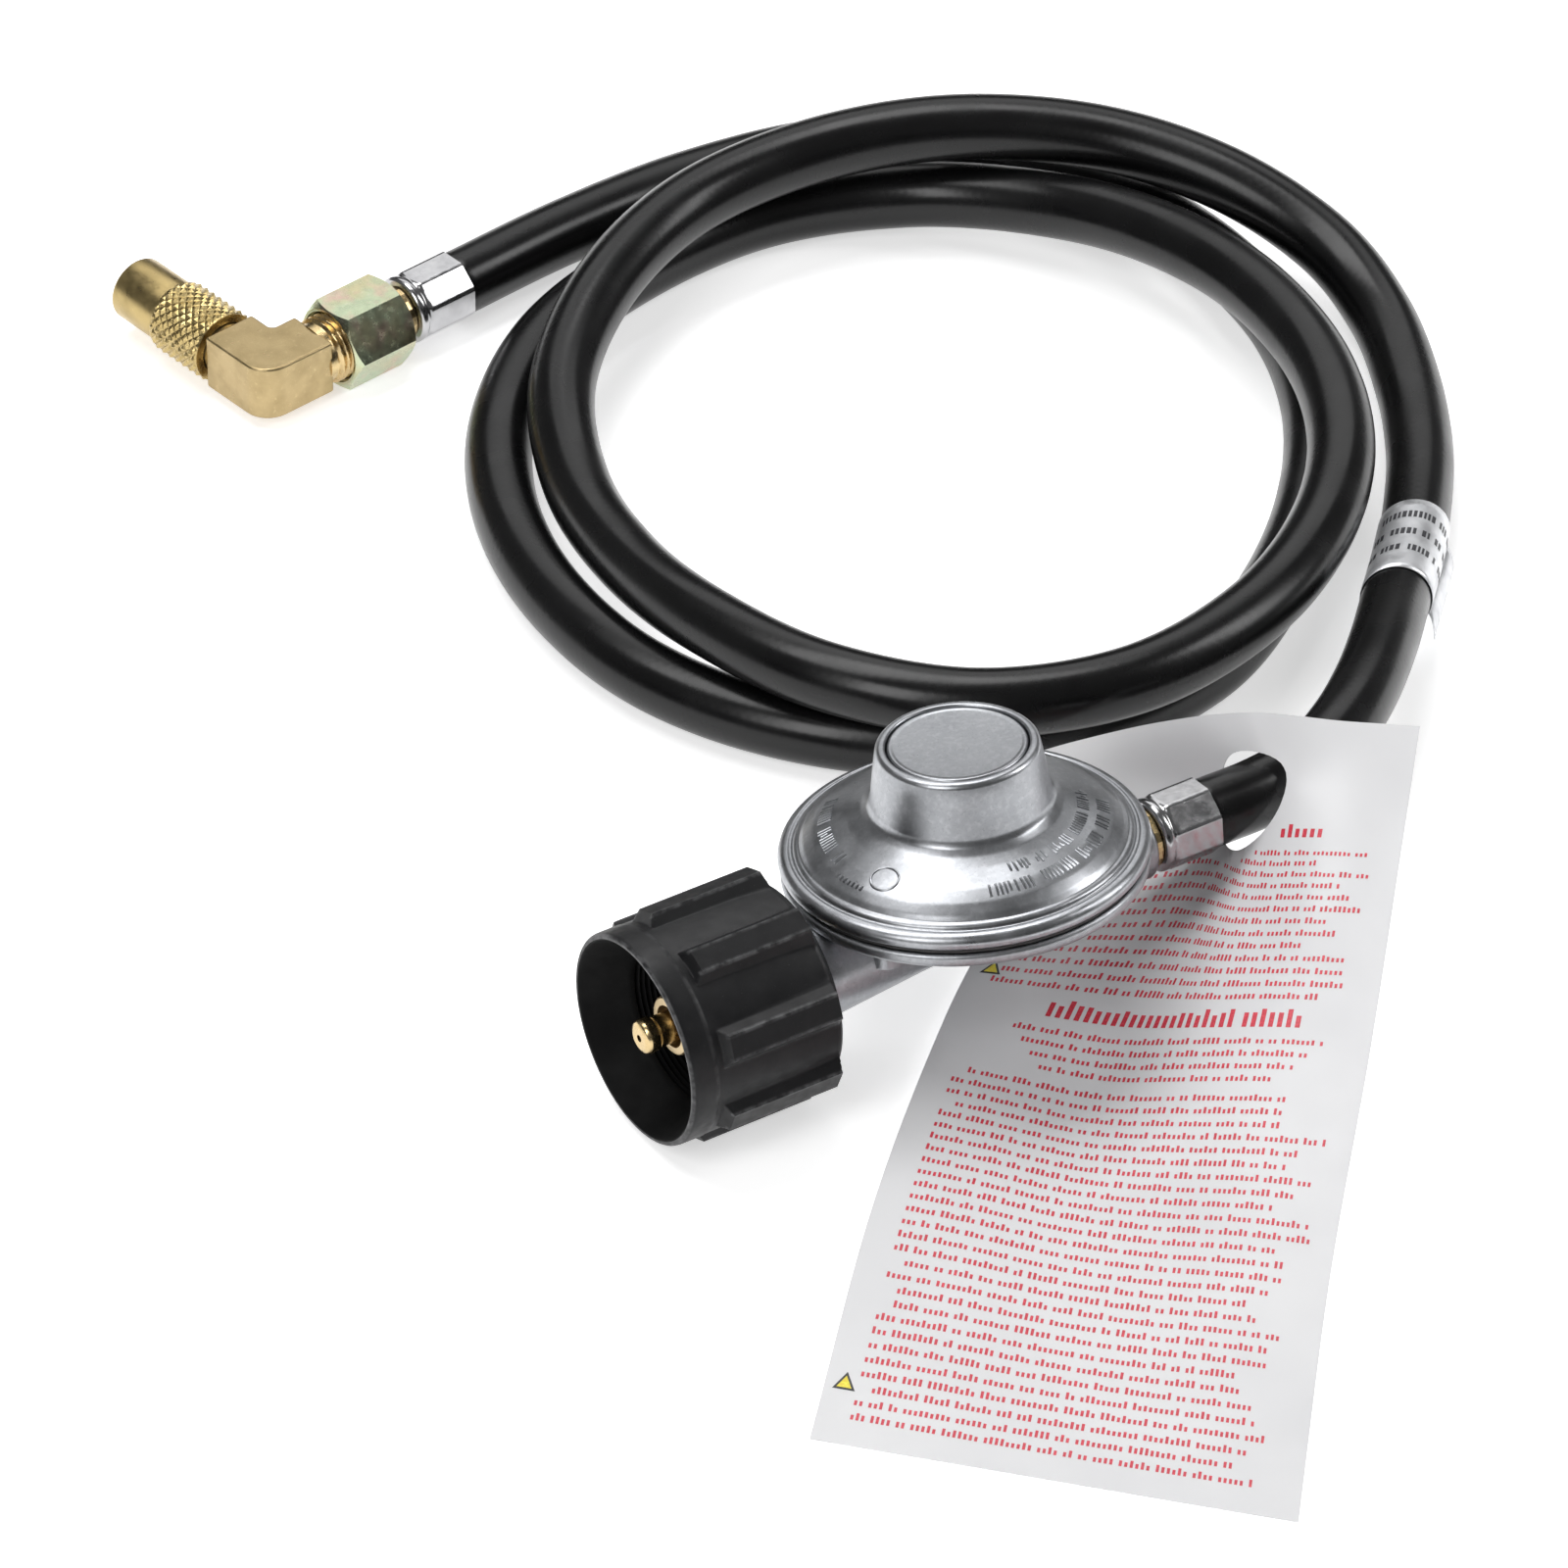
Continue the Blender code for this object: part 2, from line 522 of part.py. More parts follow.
# ------------------------------------------------------------------ the far fitting
def far_fitting():
    end = HOSE_ROUTE[-1]
    heading = (0, 0, FITTING_ANGLE + 180.0)
    axis = pose("far_fitting", (end[0], end[1], FITTING_Z), heading)
    ferrule("fitting_ferrule", 0.0, 15.3, axis, (0, -90, 0), 15.6, False)
    turned("hose_stem", [
        (2.0, 1.2), (4.3, 1.2), (4.3, 15.9), (6.3, 15.9), (6.3, 18.6), (5.2, 18.6), (5.2, 27.6),
        (6.6, 28.6), (6.6, 30.2), (4.6, 32.2), (2.0, 32.2)][::-1], BRASS, axis, ALONG_X, steps=20, ring=True)
    nut_and_elbow(axis)


def nut_and_elbow(axis):
    nut = prism("flare_nut", polygon(6, 19.05, math.pi / 6), 19.0, 36.4, YELLOW_ZINC, axis, ALONG_X)
    chamfer = turned("nut_chamfer", [
        (0, 36.4), (9.4, 36.4), (11.2, 35.3), (11.2, 20.1), (9.4, 19.0), (0, 19.0)], None, axis, ALONG_X,
        steps=24)
    combine(nut, chamfer, "INTERSECT")
    cut(nut, rod("nut_bore", 8.2, 27.3, 40.0, None, axis, ALONG_X, steps=24),
        rod("nut_throat", 5.4 + GAP, 10.0, 30.0, None, axis, ALONG_X))

    half = ELBOW_BAR / 2
    corner = [(40.6, -half), (ELBOW_X - half, -half), (ELBOW_X - half, -13.7), (ELBOW_X + half, -13.7),
              (ELBOW_X + half, half - 4.0), (ELBOW_X + half - 1.2, half - 1.2),
              (ELBOW_X + half - 4.0, half), (40.6, half)]
    elbow = prism("elbow", corner, -half, half, BRASS, axis)
    bevel = elbow.modifiers.new("edge", "BEVEL")
    bevel.width = 0.8 * MM
    bevel.segments = 1
    bevel.limit_method = "ANGLE"
    thread = turned("elbow_thread", [
        (0, 44.0), (7.9, 44.0), (7.9, 34.4), (7.2, 33.4), (0, 33.4)], None, axis, ALONG_X, steps=24)
    tail = rod("elbow_tail", 6.0, 6.0, 25.0, None, axis, (90, 0, 0), (ELBOW_X, 0, 0))
    join(elbow, thread, tail)
    bore = turned("elbow_bore", [
        (0, ELBOW_X + 1.0), (3.4, ELBOW_X + 1.0), (3.4, 35.6), (6.4, 32.6), (6.4, 30.0), (0, 30.0)],
        None, axis, ALONG_X, steps=24)
    cut(elbow, bore, rod("elbow_cross_bore", 3.1, -1.2, 30.0, None, axis, (90, 0, 0), (ELBOW_X, 0, 0)))

    turned("nozzle_sleeve", [
        (6.3, 15.2), (8.2, 15.2), (8.65, 15.7), (8.65, 31.5), (8.2, 32.0), (7.5, 32.0), (7.5, 46.0),
        (7.1, 46.6), (6.2, 46.6), (6.2, 32.0), (6.3, 31.9)][::-1],
        BRASS, axis, (90, 0, 0), (ELBOW_X, 0, 0), steps=24, ring=True)
    turned("gas_jet", [
        (0.6, 27.0), (5.2, 27.0), (5.8, 27.6), (5.8, 30.8), (3.2, 30.8), (2.4, 33.6), (0.6, 33.6)][::-1],
        BRASS, axis, (90, 0, 0), (ELBOW_X, 0, 0), steps=16, ring=True)


regulator_body()
bonnet()
diaphragm_parts()
tower_parts()
valve_parts()
coupling_nut()
nipple_parts()
outlet_parts()
hose_parts()
paper_tag()
far_fitting()
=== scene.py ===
"""The looks of the propane regulator hose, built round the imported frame.

Lists of sizes are in millimetres in one of two local frames, the regulator's gas path and the far
fitting's axis, and the helpers turn them into metres in the row's frame.
"""
import math
import random

import bmesh
import bpy
from mathutils import Matrix, Vector


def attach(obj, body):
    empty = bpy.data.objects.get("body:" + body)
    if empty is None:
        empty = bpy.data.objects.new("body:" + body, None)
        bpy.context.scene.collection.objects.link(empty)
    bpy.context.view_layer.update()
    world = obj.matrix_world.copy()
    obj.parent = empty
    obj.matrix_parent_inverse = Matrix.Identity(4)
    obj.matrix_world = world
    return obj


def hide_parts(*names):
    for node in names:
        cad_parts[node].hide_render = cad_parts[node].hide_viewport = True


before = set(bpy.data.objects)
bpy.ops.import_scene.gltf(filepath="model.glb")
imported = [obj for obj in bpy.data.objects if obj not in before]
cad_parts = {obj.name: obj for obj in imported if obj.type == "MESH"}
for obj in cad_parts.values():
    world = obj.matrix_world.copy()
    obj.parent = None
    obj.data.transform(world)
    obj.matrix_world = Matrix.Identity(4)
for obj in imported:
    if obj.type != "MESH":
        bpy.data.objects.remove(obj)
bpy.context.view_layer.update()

MM = 0.001


def place(spot, turn_axis, degrees):
    """A local frame's matrix: where its origin is, in mm, and how it is turned."""
    return Matrix.Translation(Vector(spot) * MM) @ Matrix.Rotation(math.radians(degrees), 4, turn_axis)


def polar(matrix, radius, angle, height):
    """A point round a local Z: mm in the local frame, metres in the row's."""
    return matrix @ (Vector((radius * math.cos(angle), radius * math.sin(angle), height)) * MM)


GAS_PATH = place((11.4, -1.6, 24.2), "X", -7.2)
FAR_AXIS = place((48.5, 265.6, 9.6), "Z", 189.0)
ALONG_X = Matrix.Rotation(math.radians(90), 4, "Y")      # a turned piece's own Z runs along X
GAS_AXIS = GAS_PATH @ ALONG_X
CORNER_X = 54.0                                          # the elbow's corner on its axis, mm
NOZZLE_AXIS = (FAR_AXIS @ Matrix.Translation(Vector((CORNER_X, 0, 0)) * MM)
               @ Matrix.Rotation(math.radians(90), 4, "X"))
FERRULE_AXIS = FAR_AXIS @ Matrix.Translation(Vector((15.6, 0, 0)) * MM) @ Matrix.Rotation(
    math.radians(-90), 4, "Y")
HOSE_R = 7.5                                             # mm

# The hose's route, mm, as the CAD model has it.
HOSE_ROUTE = [
    (69.9, -1.6, 24.2), (84, -1.6, 24.2), (98, 0.9, 24.2), (112, 8.5, 23.5), (126, 19.5, 21.5),
    (140, 33, 18.5), (153, 47, 15), (166, 61, 11.8), (181, 78, 9.6), (196, 98, 8.2),
    (209, 121, 7.8), (218, 145, 9.5), (219, 169, 14.5), (208.5, 194.5, 21.5), (189.5, 218, 26),
    (162.5, 236, 28), (132, 246.5, 26.5), (99, 246, 24.5), (68.5, 232.5, 22), (43.5, 210.5, 17.5),
    (28.5, 180.5, 14.5), (21.5, 147.5, 16.5), (21, 114.5, 21), (30, 82, 23.2), (52, 57, 23.2),
    (83.5, 46, 23.2), (116.5, 51, 23.2), (146, 67, 23.2), (169.5, 91, 23.2), (184, 121, 23.2),
    (188.5, 154.5, 22.8), (185, 187, 19.5), (175, 216, 14), (155, 240, 10), (124.5, 253.5, 8),
    (90, 251.5, 7.6), (57.5, 239.5, 7.6), (31.5, 216.5, 7.6), (14.5, 187, 7.6), (7, 154, 7.6),
    (9.5, 120.5, 7.6), (24, 90.5, 7.6), (48.5, 67, 7.6), (79.5, 54.5, 7.6), (112.5, 58, 7.6),
    (141.5, 75, 7.6), (167, 98, 7.6), (186.5, 125, 7.6), (198.5, 156, 7.6), (201, 189, 7.6),
    (194, 222, 7.6), (177, 250.5, 7.6), (150.5, 268.5, 7.6), (117, 274, 7.9), (82, 270.9, 9.3),
    (48.5, 265.6, 9.6),
]

# The tag's sheet, mm: five rows from its punched end down to its free end, right edge to left edge.
TAG_ROWS = [
    [(118.4, -10.3, 33), (103, -4.3, 36.7), (86, 5, 40), (77.5, 24, 29), (65.2, 37.7, 20.2),
     (53, 43, 17)],
    [(95, -37, 27), (82, -27, 27), (76, -12, 20), (75.5, 3, 14), (60, 15, 9), (43, 25.5, 6)],
    [(61, -75, 15), (48, -62, 13), (37, -48, 8), (26, -35, 4), (13, -22, 4.5), (1, -9, 5)],
    [(20, -120, 5), (7.5, -106.5, 4), (-5, -93, 2), (-18, -79, 1.5), (-31, -65, 3), (-44, -51, 4)],
    [(-23.9, -172.5, 0.4), (-37, -158.5, 0.4), (-50.5, -144, 0.4), (-64, -129.5, 0.4),
     (-77.5, -115, 0.4), (-90.8, -100.7, 0.4)],
]
TAG_SIZE = (100.0, 228.0)    # the card, flat, mm


# ---------------- camera, floor and light
LAMPS_FACE, FLAGS_FACE = (0.03, 0.08, 0.0), (0.03, 0.05, 0.02)      # metres


def add(name, data):
    """A new object in the scene."""
    item = bpy.data.objects.new(name, data)
    bpy.context.scene.collection.objects.link(item)
    return item


def aim(item, spot, target):
    """Stands an object at a spot, looking down its own -Z at a target."""
    item.location = spot
    item.rotation_euler = (Vector(spot) - Vector(target)).to_track_quat("Z", "Y").to_euler()


def panel(name, x, y, **inputs):
    """A flat rectangle that reaches x and y either way, in a plain material."""
    mesh = bpy.data.meshes.new(name)
    mesh.from_pydata([(-x, -y, 0), (x, -y, 0), (x, y, 0), (-x, y, 0)], [], [(0, 1, 2, 3)])
    paint = bpy.data.materials.new(name)
    paint.use_nodes = True
    shader = paint.node_tree.nodes["Principled BSDF"]
    for socket, value in inputs.items():
        shader.inputs[socket.replace("_", " ")].default_value = value
    mesh.materials.append(paint)
    return add(name, mesh)


def camera():
    """A long lens from the front left, above."""
    azimuth, height, distance = math.radians(-32.5), math.radians(37.5), 2.2
    back = Vector((math.sin(azimuth) * math.cos(height), -math.cos(azimuth) * math.cos(height),
                   math.sin(height)))
    view = bpy.data.cameras.new("camera")
    view.lens = 237.6
    view.sensor_width = 36.0
    eye = add("camera", view)
    eye.location = Vector((0.01875, 0.08059, 0.0)) + back * distance
    eye.rotation_euler = back.to_track_quat("Z", "Y").to_euler()
    bpy.context.scene.camera = eye


def lamp(name, spot, size, power):
    """A soft rectangular light that faces the object."""
    light = bpy.data.lights.new(name, "AREA")
    light.shape = "RECTANGLE"
    light.size, light.size_y = size
    light.energy = power
    aim(add(name, light), spot, LAMPS_FACE)


def flag(name, spot, size):
    """A dark studio panel that only shows in reflections."""
    item = panel(name, size[0] / 2, size[1] / 2, Base_Color=(0.01, 0.01, 0.01, 1), Roughness=1.0)
    aim(item, spot, FLAGS_FACE)
    item.visible_camera = False
    item.visible_diffuse = False
    item.visible_shadow = False


def studio():
    """A pale floor that glows a little, four soft lamps and three dark flags."""
    floor = panel("floor", 4, 4, Base_Color=(0.93, 0.93, 0.93, 1), Roughness=0.9,
                  Emission_Color=(1.0, 1.0, 1.0, 1), Emission_Strength=0.55, Specular_IOR_Level=0.1)
    world = bpy.data.worlds.new("studio")
    world.use_nodes = True
    world.node_tree.nodes["Background"].inputs["Color"].default_value = (1.0, 1.0, 1.0, 1)
    world.node_tree.nodes["Background"].inputs["Strength"].default_value = 0.13
    bpy.context.scene.world = world
    bpy.context.scene.view_settings.view_transform = "Standard"
    lamp("overhead", (0.00, 0.55, 1.30), (1.3, 0.6), 12)
    lamp("key", (-1.15, -0.45, 1.10), (0.6, 0.9), 9)
    lamp("right", (1.20, -0.45, 0.90), (0.4, 0.9), 7)
    lamp("back", (0.75, 1.15, 1.00), (1.6, 0.7), 4.5)
    flag("front_flag", (-0.25, -1.30, 0.35), (1.6, 0.55))
    flag("left_flag", (-1.30, 0.30, 0.32), (0.9, 0.45))
    flag("back_flag", (0.60, 1.50, 0.45), (1.5, 0.55))


# ---------------- materials
class Look:
    """A Principled material, and the nodes that vary it.

    tint, shine, relief and spread take a node's output, or a tuple of what noise() is to be asked for.
    """

    def __init__(self, name, colour, roughness, metallic=0.0):
        self.material = bpy.data.materials.new(name)
        self.material.use_nodes = True
        self.tree = self.material.node_tree
        self.shader = self.tree.nodes["Principled BSDF"]
        self.colour = colour
        self.roughness = roughness
        self.set("Base Color", (*colour, 1.0))
        self.set("Roughness", roughness)
        self.set("Metallic", metallic)
        self.coordinates = self.tree.nodes.new("ShaderNodeTexCoord")

    def set(self, socket, value):
        self.shader.inputs[socket].default_value = value

    def link(self, output, target):
        self.tree.links.new(output, target)

    def node(self, kind, **inputs):
        """A new node with some of its inputs set."""
        item = self.tree.nodes.new("ShaderNode" + kind)
        for socket, value in inputs.items():
            item.inputs[socket.replace("_", " ")].default_value = value
        return item

    def noise(self, size, detail=4.0, stretch=(1, 1, 1), source="Object"):
        """Noise with features of about a size in mm, from 0 to 1."""
        texture = self.node("TexNoise", Scale=1.0 / (size * MM), Detail=detail)
        mapping = self.node("Mapping", Scale=stretch)
        self.link(self.coordinates.outputs[source], mapping.inputs["Vector"])
        self.link(mapping.outputs["Vector"], texture.inputs["Vector"])
        return texture.outputs["Fac"]

    def value(self, source):
        return self.noise(*source) if isinstance(source, tuple) else source

    def waves(self, pitch, slant=0.0):
        """Fine lines on the UV map, pitch in mm, leaning by slant."""
        mapping = self.node("Mapping", Rotation=(0, 0, slant))
        self.link(self.coordinates.outputs["UV"], mapping.inputs["Vector"])
        texture = self.node("TexWave", Scale=math.tau / 20.0 / (pitch * MM), Distortion=0.6,
                            Detail_Scale=2.0)
        texture.bands_direction = "Y"
        self.link(mapping.outputs["Vector"], texture.inputs["Vector"])
        return texture.outputs["Fac"]

    def spread(self, fac, low, high, start=0.3, end=0.7):
        """A value of 0 to 1 mapped to a range of numbers."""
        remap = self.node("MapRange", From_Min=start, From_Max=end, To_Min=low, To_Max=high)
        self.link(self.value(fac), remap.inputs["Value"])
        return remap.outputs["Result"]

    def tint(self, fac, other, start=0.3, end=0.7):
        """Another colour where fac is high."""
        mix = self.node("Mix")
        mix.data_type = "RGBA"
        self.link(self.spread(fac, 0.0, 1.0, start, end), mix.inputs["Factor"])
        before = self.shader.inputs["Base Color"]
        if before.is_linked:
            self.link(before.links[0].from_socket, mix.inputs["A"])
        else:
            mix.inputs["A"].default_value = (*self.colour, 1.0)
        mix.inputs["B"].default_value = (*other, 1.0)
        self.link(mix.outputs["Result"], before)
        return self

    def shine(self, fac, change, start=0.3, end=0.7):
        """Roughness varied either way by a change."""
        low, high = self.roughness - change, self.roughness + change
        self.link(self.spread(fac, low, high, start, end), self.shader.inputs["Roughness"])
        return self

    def relief(self, height, depth, strength=1.0):
        """Bump of a depth in mm, on top of the bump that is there already."""
        bump = self.node("Bump", Strength=strength, Distance=depth * MM)
        self.link(self.value(height), bump.inputs["Height"])
        before = self.shader.inputs["Normal"]
        if before.is_linked:
            self.link(before.links[0].from_socket, bump.inputs["Normal"])
        self.link(bump.outputs["Normal"], before)
        return self

    def attribute(self, name):
        item = self.node("Attribute")
        item.attribute_name = name
        return item.outputs["Fac"]


def cast_zinc(name, grain, roughness):
    """Die-cast zinc: grey, cloudy, with a fine skin and a few pits."""
    look = Look(name, (0.40, 0.41, 0.43), roughness, 1.0)
    look.tint((9.0, 6.0), (0.33, 0.34, 0.36), 0.30, 0.90)
    look.tint((1.2, 5.0), (0.52, 0.53, 0.55), 0.48, 0.95)
    look.tint((0.5, 3.0), (0.28, 0.29, 0.30), 0.56, 0.85)
    look.shine((6.0, 5.0), 0.06)
    look.relief((7.0, 1.0), 0.020, 0.4)
    look.relief((0.45, 3.0), grain, 0.6)
    return look.material


def turned_brass(name, colour, roughness):
    """Machined brass with the tool's fine rings."""
    look = Look(name, colour, roughness, 1.0)
    look.tint((6.0, 4.0), tuple(part * 0.72 for part in colour), 0.45, 0.8)
    look.shine((1.8, 5.0), 0.07)
    look.relief(look.waves(0.22), 0.006, 0.5)
    look.relief((0.5, 2.0), 0.004, 0.5)
    return look.material


def forged_brass():
    look = Look("forged_brass", (0.47, 0.36, 0.19), 0.36, 1.0)
    look.tint((5.0, 5.0), (0.37, 0.28, 0.14), 0.40, 0.75)
    look.tint((0.9, 3.0), (0.58, 0.45, 0.25), 0.60, 0.85)
    look.shine((2.2, 5.0), 0.09)
    look.relief((0.40, 3.0), 0.050, 0.8)
    return look.material


def knurled_brass():
    look = Look("knurled_brass", (0.52, 0.40, 0.18), 0.30, 1.0)
    look.tint((4.0, 4.0), (0.38, 0.28, 0.11), 0.42, 0.75)
    look.shine((1.0, 4.0), 0.08)
    look.relief((0.35, 2.0), 0.010, 0.6)
    return look.material


def bright_steel():
    """Bright plated ferrule, a little scuffed by its crimping tool."""
    look = Look("bright_plate", (0.50, 0.50, 0.51), 0.19, 1.0)
    look.tint((5.0, 4.0), (0.38, 0.38, 0.39), 0.40, 0.8)
    look.shine((2.0, 5.0), 0.06)
    look.relief((1.2, 4.0, (1, 1, 5), "UV"), 0.010, 0.5)
    return look.material


def plated_steel():
    look = Look("plated_steel", (0.58, 0.58, 0.59), 0.32, 1.0)
    look.tint((4.0, 4.0), (0.42, 0.42, 0.43), 0.45, 0.75)
    look.shine((1.5, 4.0), 0.08)
    look.relief((0.6, 3.0), 0.008, 0.5)
    return look.material


def yellow_zinc():
    """Yellow chromate over zinc, with its drifting green and rose tints."""
    look = Look("yellow_zinc", (0.54, 0.50, 0.31), 0.24, 1.0)
    look.tint((8.0, 2.0), (0.48, 0.55, 0.38), 0.35, 0.60)
    look.tint((6.5, 2.0, (1.3, 1, 0.8)), (0.60, 0.44, 0.36), 0.52, 0.72)
    look.tint((1.1, 5.0), (0.64, 0.61, 0.46), 0.60, 0.85)
    look.shine((2.0, 5.0), 0.07)
    look.relief((0.8, 4.0), 0.010, 0.5)
    return look.material


def black_plastic():
    """Moulded nut: satin black, with pale rubbed edges and a little dust."""
    look = Look("black_plastic", (0.008, 0.008, 0.009), 0.44, 0.0)
    look.tint((7.0, 5.0), (0.013, 0.013, 0.014), 0.40, 0.75)
    worn = look.node("Math")
    worn.operation = "MULTIPLY"
    look.link(look.attribute("wear"), worn.inputs[0])
    look.link(look.spread((2.2, 5.0), 0.1, 1.0, 0.38, 0.62), worn.inputs[1])
    look.tint(worn.outputs[0], (0.085, 0.085, 0.088), 0.0, 1.0)
    look.tint((0.30, 2.0), (0.05, 0.05, 0.053), 0.70, 0.80)
    look.shine((2.6, 5.0), 0.07)
    look.relief((0.35, 2.0), 0.012, 0.6)
    look.relief((4.0, 3.0), 0.05, 0.4)
    look.set("Specular IOR Level", 0.28)
    return look.material


def bore_painted_shade_plastic():
    """The nut's bore: the same plastic, painted darker and duller as painted shade inside the nut."""
    # Painted shade: a darker base and weaker specular than the outer plastic, standing in for the bore's
    # shadow.
    look = Look("bore_painted_shade_plastic", (0.0035, 0.0035, 0.0037), 0.60, 0.0)
    look.tint((4.0, 4.0), (0.006, 0.006, 0.0062), 0.40, 0.80)
    look.shine((3.0, 4.0), 0.06)
    look.relief((0.5, 3.0), 0.010, 0.5)
    look.set("Specular IOR Level", 0.12)
    return look.material


def black_rubber():
    """Extruded hose: smooth satin black over a braid that just shows through."""
    look = Look("black_rubber", (0.0030, 0.0030, 0.0032), 0.27, 0.0)
    look.tint((30.0, 3.0), (0.0055, 0.0055, 0.0058), 0.35, 0.7)
    look.shine((14.0, 4.0), 0.05)
    look.relief(look.waves(1.9, 0.62), 0.010, 0.3)
    look.relief(look.waves(1.9, -0.62), 0.010, 0.3)
    look.relief((4.0, 2.0), 0.006, 0.3)
    look.set("Specular IOR Level", 0.36)
    return look.material


def soft_rubber():
    look = Look("seal_rubber", (0.020, 0.020, 0.020), 0.55, 0.0)
    look.tint((3.0, 3.0), (0.035, 0.035, 0.035))
    look.relief((0.5, 3.0), 0.01, 0.5)
    return look.material


def silver_foil():
    look = Look("silver_foil", (0.80, 0.81, 0.83), 0.36, 0.70)
    look.tint((6.0, 4.0), (0.56, 0.57, 0.59), 0.42, 0.75)
    look.shine((2.4, 5.0), 0.08)
    look.relief((3.2, 4.0), 0.10, 0.55)
    look.relief((0.8, 2.0), 0.01, 0.5)
    return look.material


def coated_paper():
    """White coated card: even, faintly cool, with slight cockling."""
    look = Look("coated_paper", (0.77, 0.77, 0.78), 0.42, 0.0)
    look.tint((45.0, 3.0), (0.70, 0.70, 0.715), 0.40, 0.75)
    look.shine((9.0, 4.0), 0.06)
    look.relief((26.0, 3.0), 0.35, 0.45)
    look.relief((0.7, 3.0), 0.006, 0.5)
    return look.material


def ink(name, colour):
    look = Look(name, colour, 0.45)
    paler = tuple(min(part * 1.5 + 0.02, 1.0) for part in colour)
    look.tint((0.6, 3.0), paler, 0.45, 0.85)
    look.shine((1.5, 3.0), 0.05)
    return look.material


# ---------------- mesh helpers
def smooth_line(points, per_span):
    """Points on the smooth curve (Catmull-Rom) through a route's own points."""
    ends = [points[0] * 2 - points[1], *points, points[-1] * 2 - points[-2]]
    line = []
    for k in range(1, len(ends) - 2):
        a, b, c, d = ends[k - 1:k + 3]
        for step in range(per_span):
            t = step / per_span
            line.append(0.5 * (b * 2 + (c - a) * t + (a * 2 - b * 5 + c * 4 - d) * t ** 2
                               + (b * 3 - a - c * 3 + d) * t ** 3))
    line.append(points[-1])
    return line


def rounded(profile, radius=0.35, pieces=3):
    """A profile of (radius, height) points in mm with its corners turned into short curves."""
    corners = [Vector(point) for point in profile]
    line = [corners[0]]
    for a, b, c in zip(corners, corners[1:], corners[2:]):
        reach = min(radius, 0.45 * (a - b).length, 0.45 * (c - b).length)
        first = b + (a - b).normalized() * reach
        last = b + (c - b).normalized() * reach
        for k in range(pieces + 1):
            t = k / pieces
            line.append(first * (1 - t) ** 2 + b * (2 * t * (1 - t)) + last * t ** 2)
    line.append(corners[-1])
    return line


def keep(name, shape, sharp):
    """The bmesh as an object, smooth but for edges sharper than an angle."""
    mesh = bpy.data.meshes.new(name)
    shape.to_mesh(mesh)
    shape.free()
    for face in mesh.polygons:
        face.use_smooth = True
    mesh.set_sharp_from_angle(angle=math.radians(sharp))
    return add(name, mesh)


def skin(name, rings, sharp=38.0, closed=True):
    """A surface through rings of points, metres. A ring of one point is a pole. UVs are in metres."""
    shape = bmesh.new()
    layer = shape.loops.layers.uv.new("UVMap")
    made = [[shape.verts.new(point) for point in ring] for ring in rings]
    around = max(sum((b - a).length for a, b in zip(ring, ring[1:])) for ring in rings)
    reach = 0.0
    for k in range(len(rings) - 1):
        low, high = made[k], made[k + 1]
        length = (rings[k + 1][0] - rings[k][0]).length
        count = max(len(low), len(high))
        for j in range(count if closed else count - 1):
            after = (j + 1) % count
            left, right = around * j / count, around * (j + 1) / count
            corners = []
            if len(low) == 1:
                corners.append((low[0], left, reach))
            else:
                corners += [(low[j], left, reach), (low[after], right, reach)]
            if len(high) == 1:
                corners.append((high[0], left, reach + length))
            else:
                corners += [(high[after], right, reach + length), (high[j], left, reach + length)]
            face = shape.faces.new([corner[0] for corner in corners])
            for loop, corner in zip(face.loops, corners):
                loop[layer].uv = (corner[1], corner[2])
        reach += length
    if closed:
        bmesh.ops.remove_doubles(shape, verts=shape.verts, dist=1e-7)
        bmesh.ops.recalc_face_normals(shape, faces=shape.faces)
    return keep(name, shape, sharp)


def full_turn(steps):
    """The angles of a circle's points."""
    return [math.tau * k / steps for k in range(steps)]


def hoop(centre, up, side, radius, steps):
    """A circle of points round a centre, in the plane of two directions; radius in metres."""
    return [centre + (up * math.cos(angle) + side * math.sin(angle)) * radius for angle in full_turn(steps)]


def ring(radius, height, matrix, steps):
    """A circle of points round a local Z, or its one point where the radius is nothing."""
    if radius < 1e-6:
        return [matrix @ Vector((0, 0, height * MM))]
    return [polar(matrix, radius, angle, height) for angle in full_turn(steps)]


def lathe(name, profile, matrix, steps=96, fillet=0.3, sharp=38.0):
    """A turned piece from (radius, height) points, with its corners eased."""
    line = rounded(profile, fillet) if fillet else [Vector(point) for point in profile]
    return skin(name, [ring(point.x, point.y, matrix, steps) for point in line], sharp)


def loop_profile(profile):
    """A ring's profile that comes back to where it starts."""
    return [*profile, profile[0]]


def field(name, radius_at, angles, heights, matrix, inner, sharp=38.0):
    """A piece whose outer radius varies round it; inner is its (radius, height) way back through."""
    rings = [[polar(matrix, radius_at(angle, height), angle, height) for angle in angles]
             for height in heights]
    rings += [[polar(matrix, radius, angle, height) for angle in angles] for radius, height in inner]
    rings.append(rings[0])
    return skin(name, rings, sharp)


def steady(item):
    """Flat faces keep flat shading beside narrow rounded edges."""
    weigh = item.modifiers.new("normals", "WEIGHTED_NORMAL")
    weigh.keep_sharp = True


def span(low, high, step):
    """Evenly spaced numbers from low to high."""
    count = max(1, round((high - low) / step))
    return [low + (high - low) * k / count for k in range(count + 1)]


def read(line, place):
    """The second number at a place on a line of (place, number) points."""
    for (x0, y0), (x1, y1) in zip(line, line[1:]):
        if x0 <= place <= x1:
            return y0 + (y1 - y0) * (place - x0) / (x1 - x0)
    return line[-1][1]


def smoothstep(value, low, high):
    """0 below low, 1 above high, and an easy curve between."""
    t = min(max((value - low) / (high - low), 0.0), 1.0)
    return t * t * (3 - 2 * t)


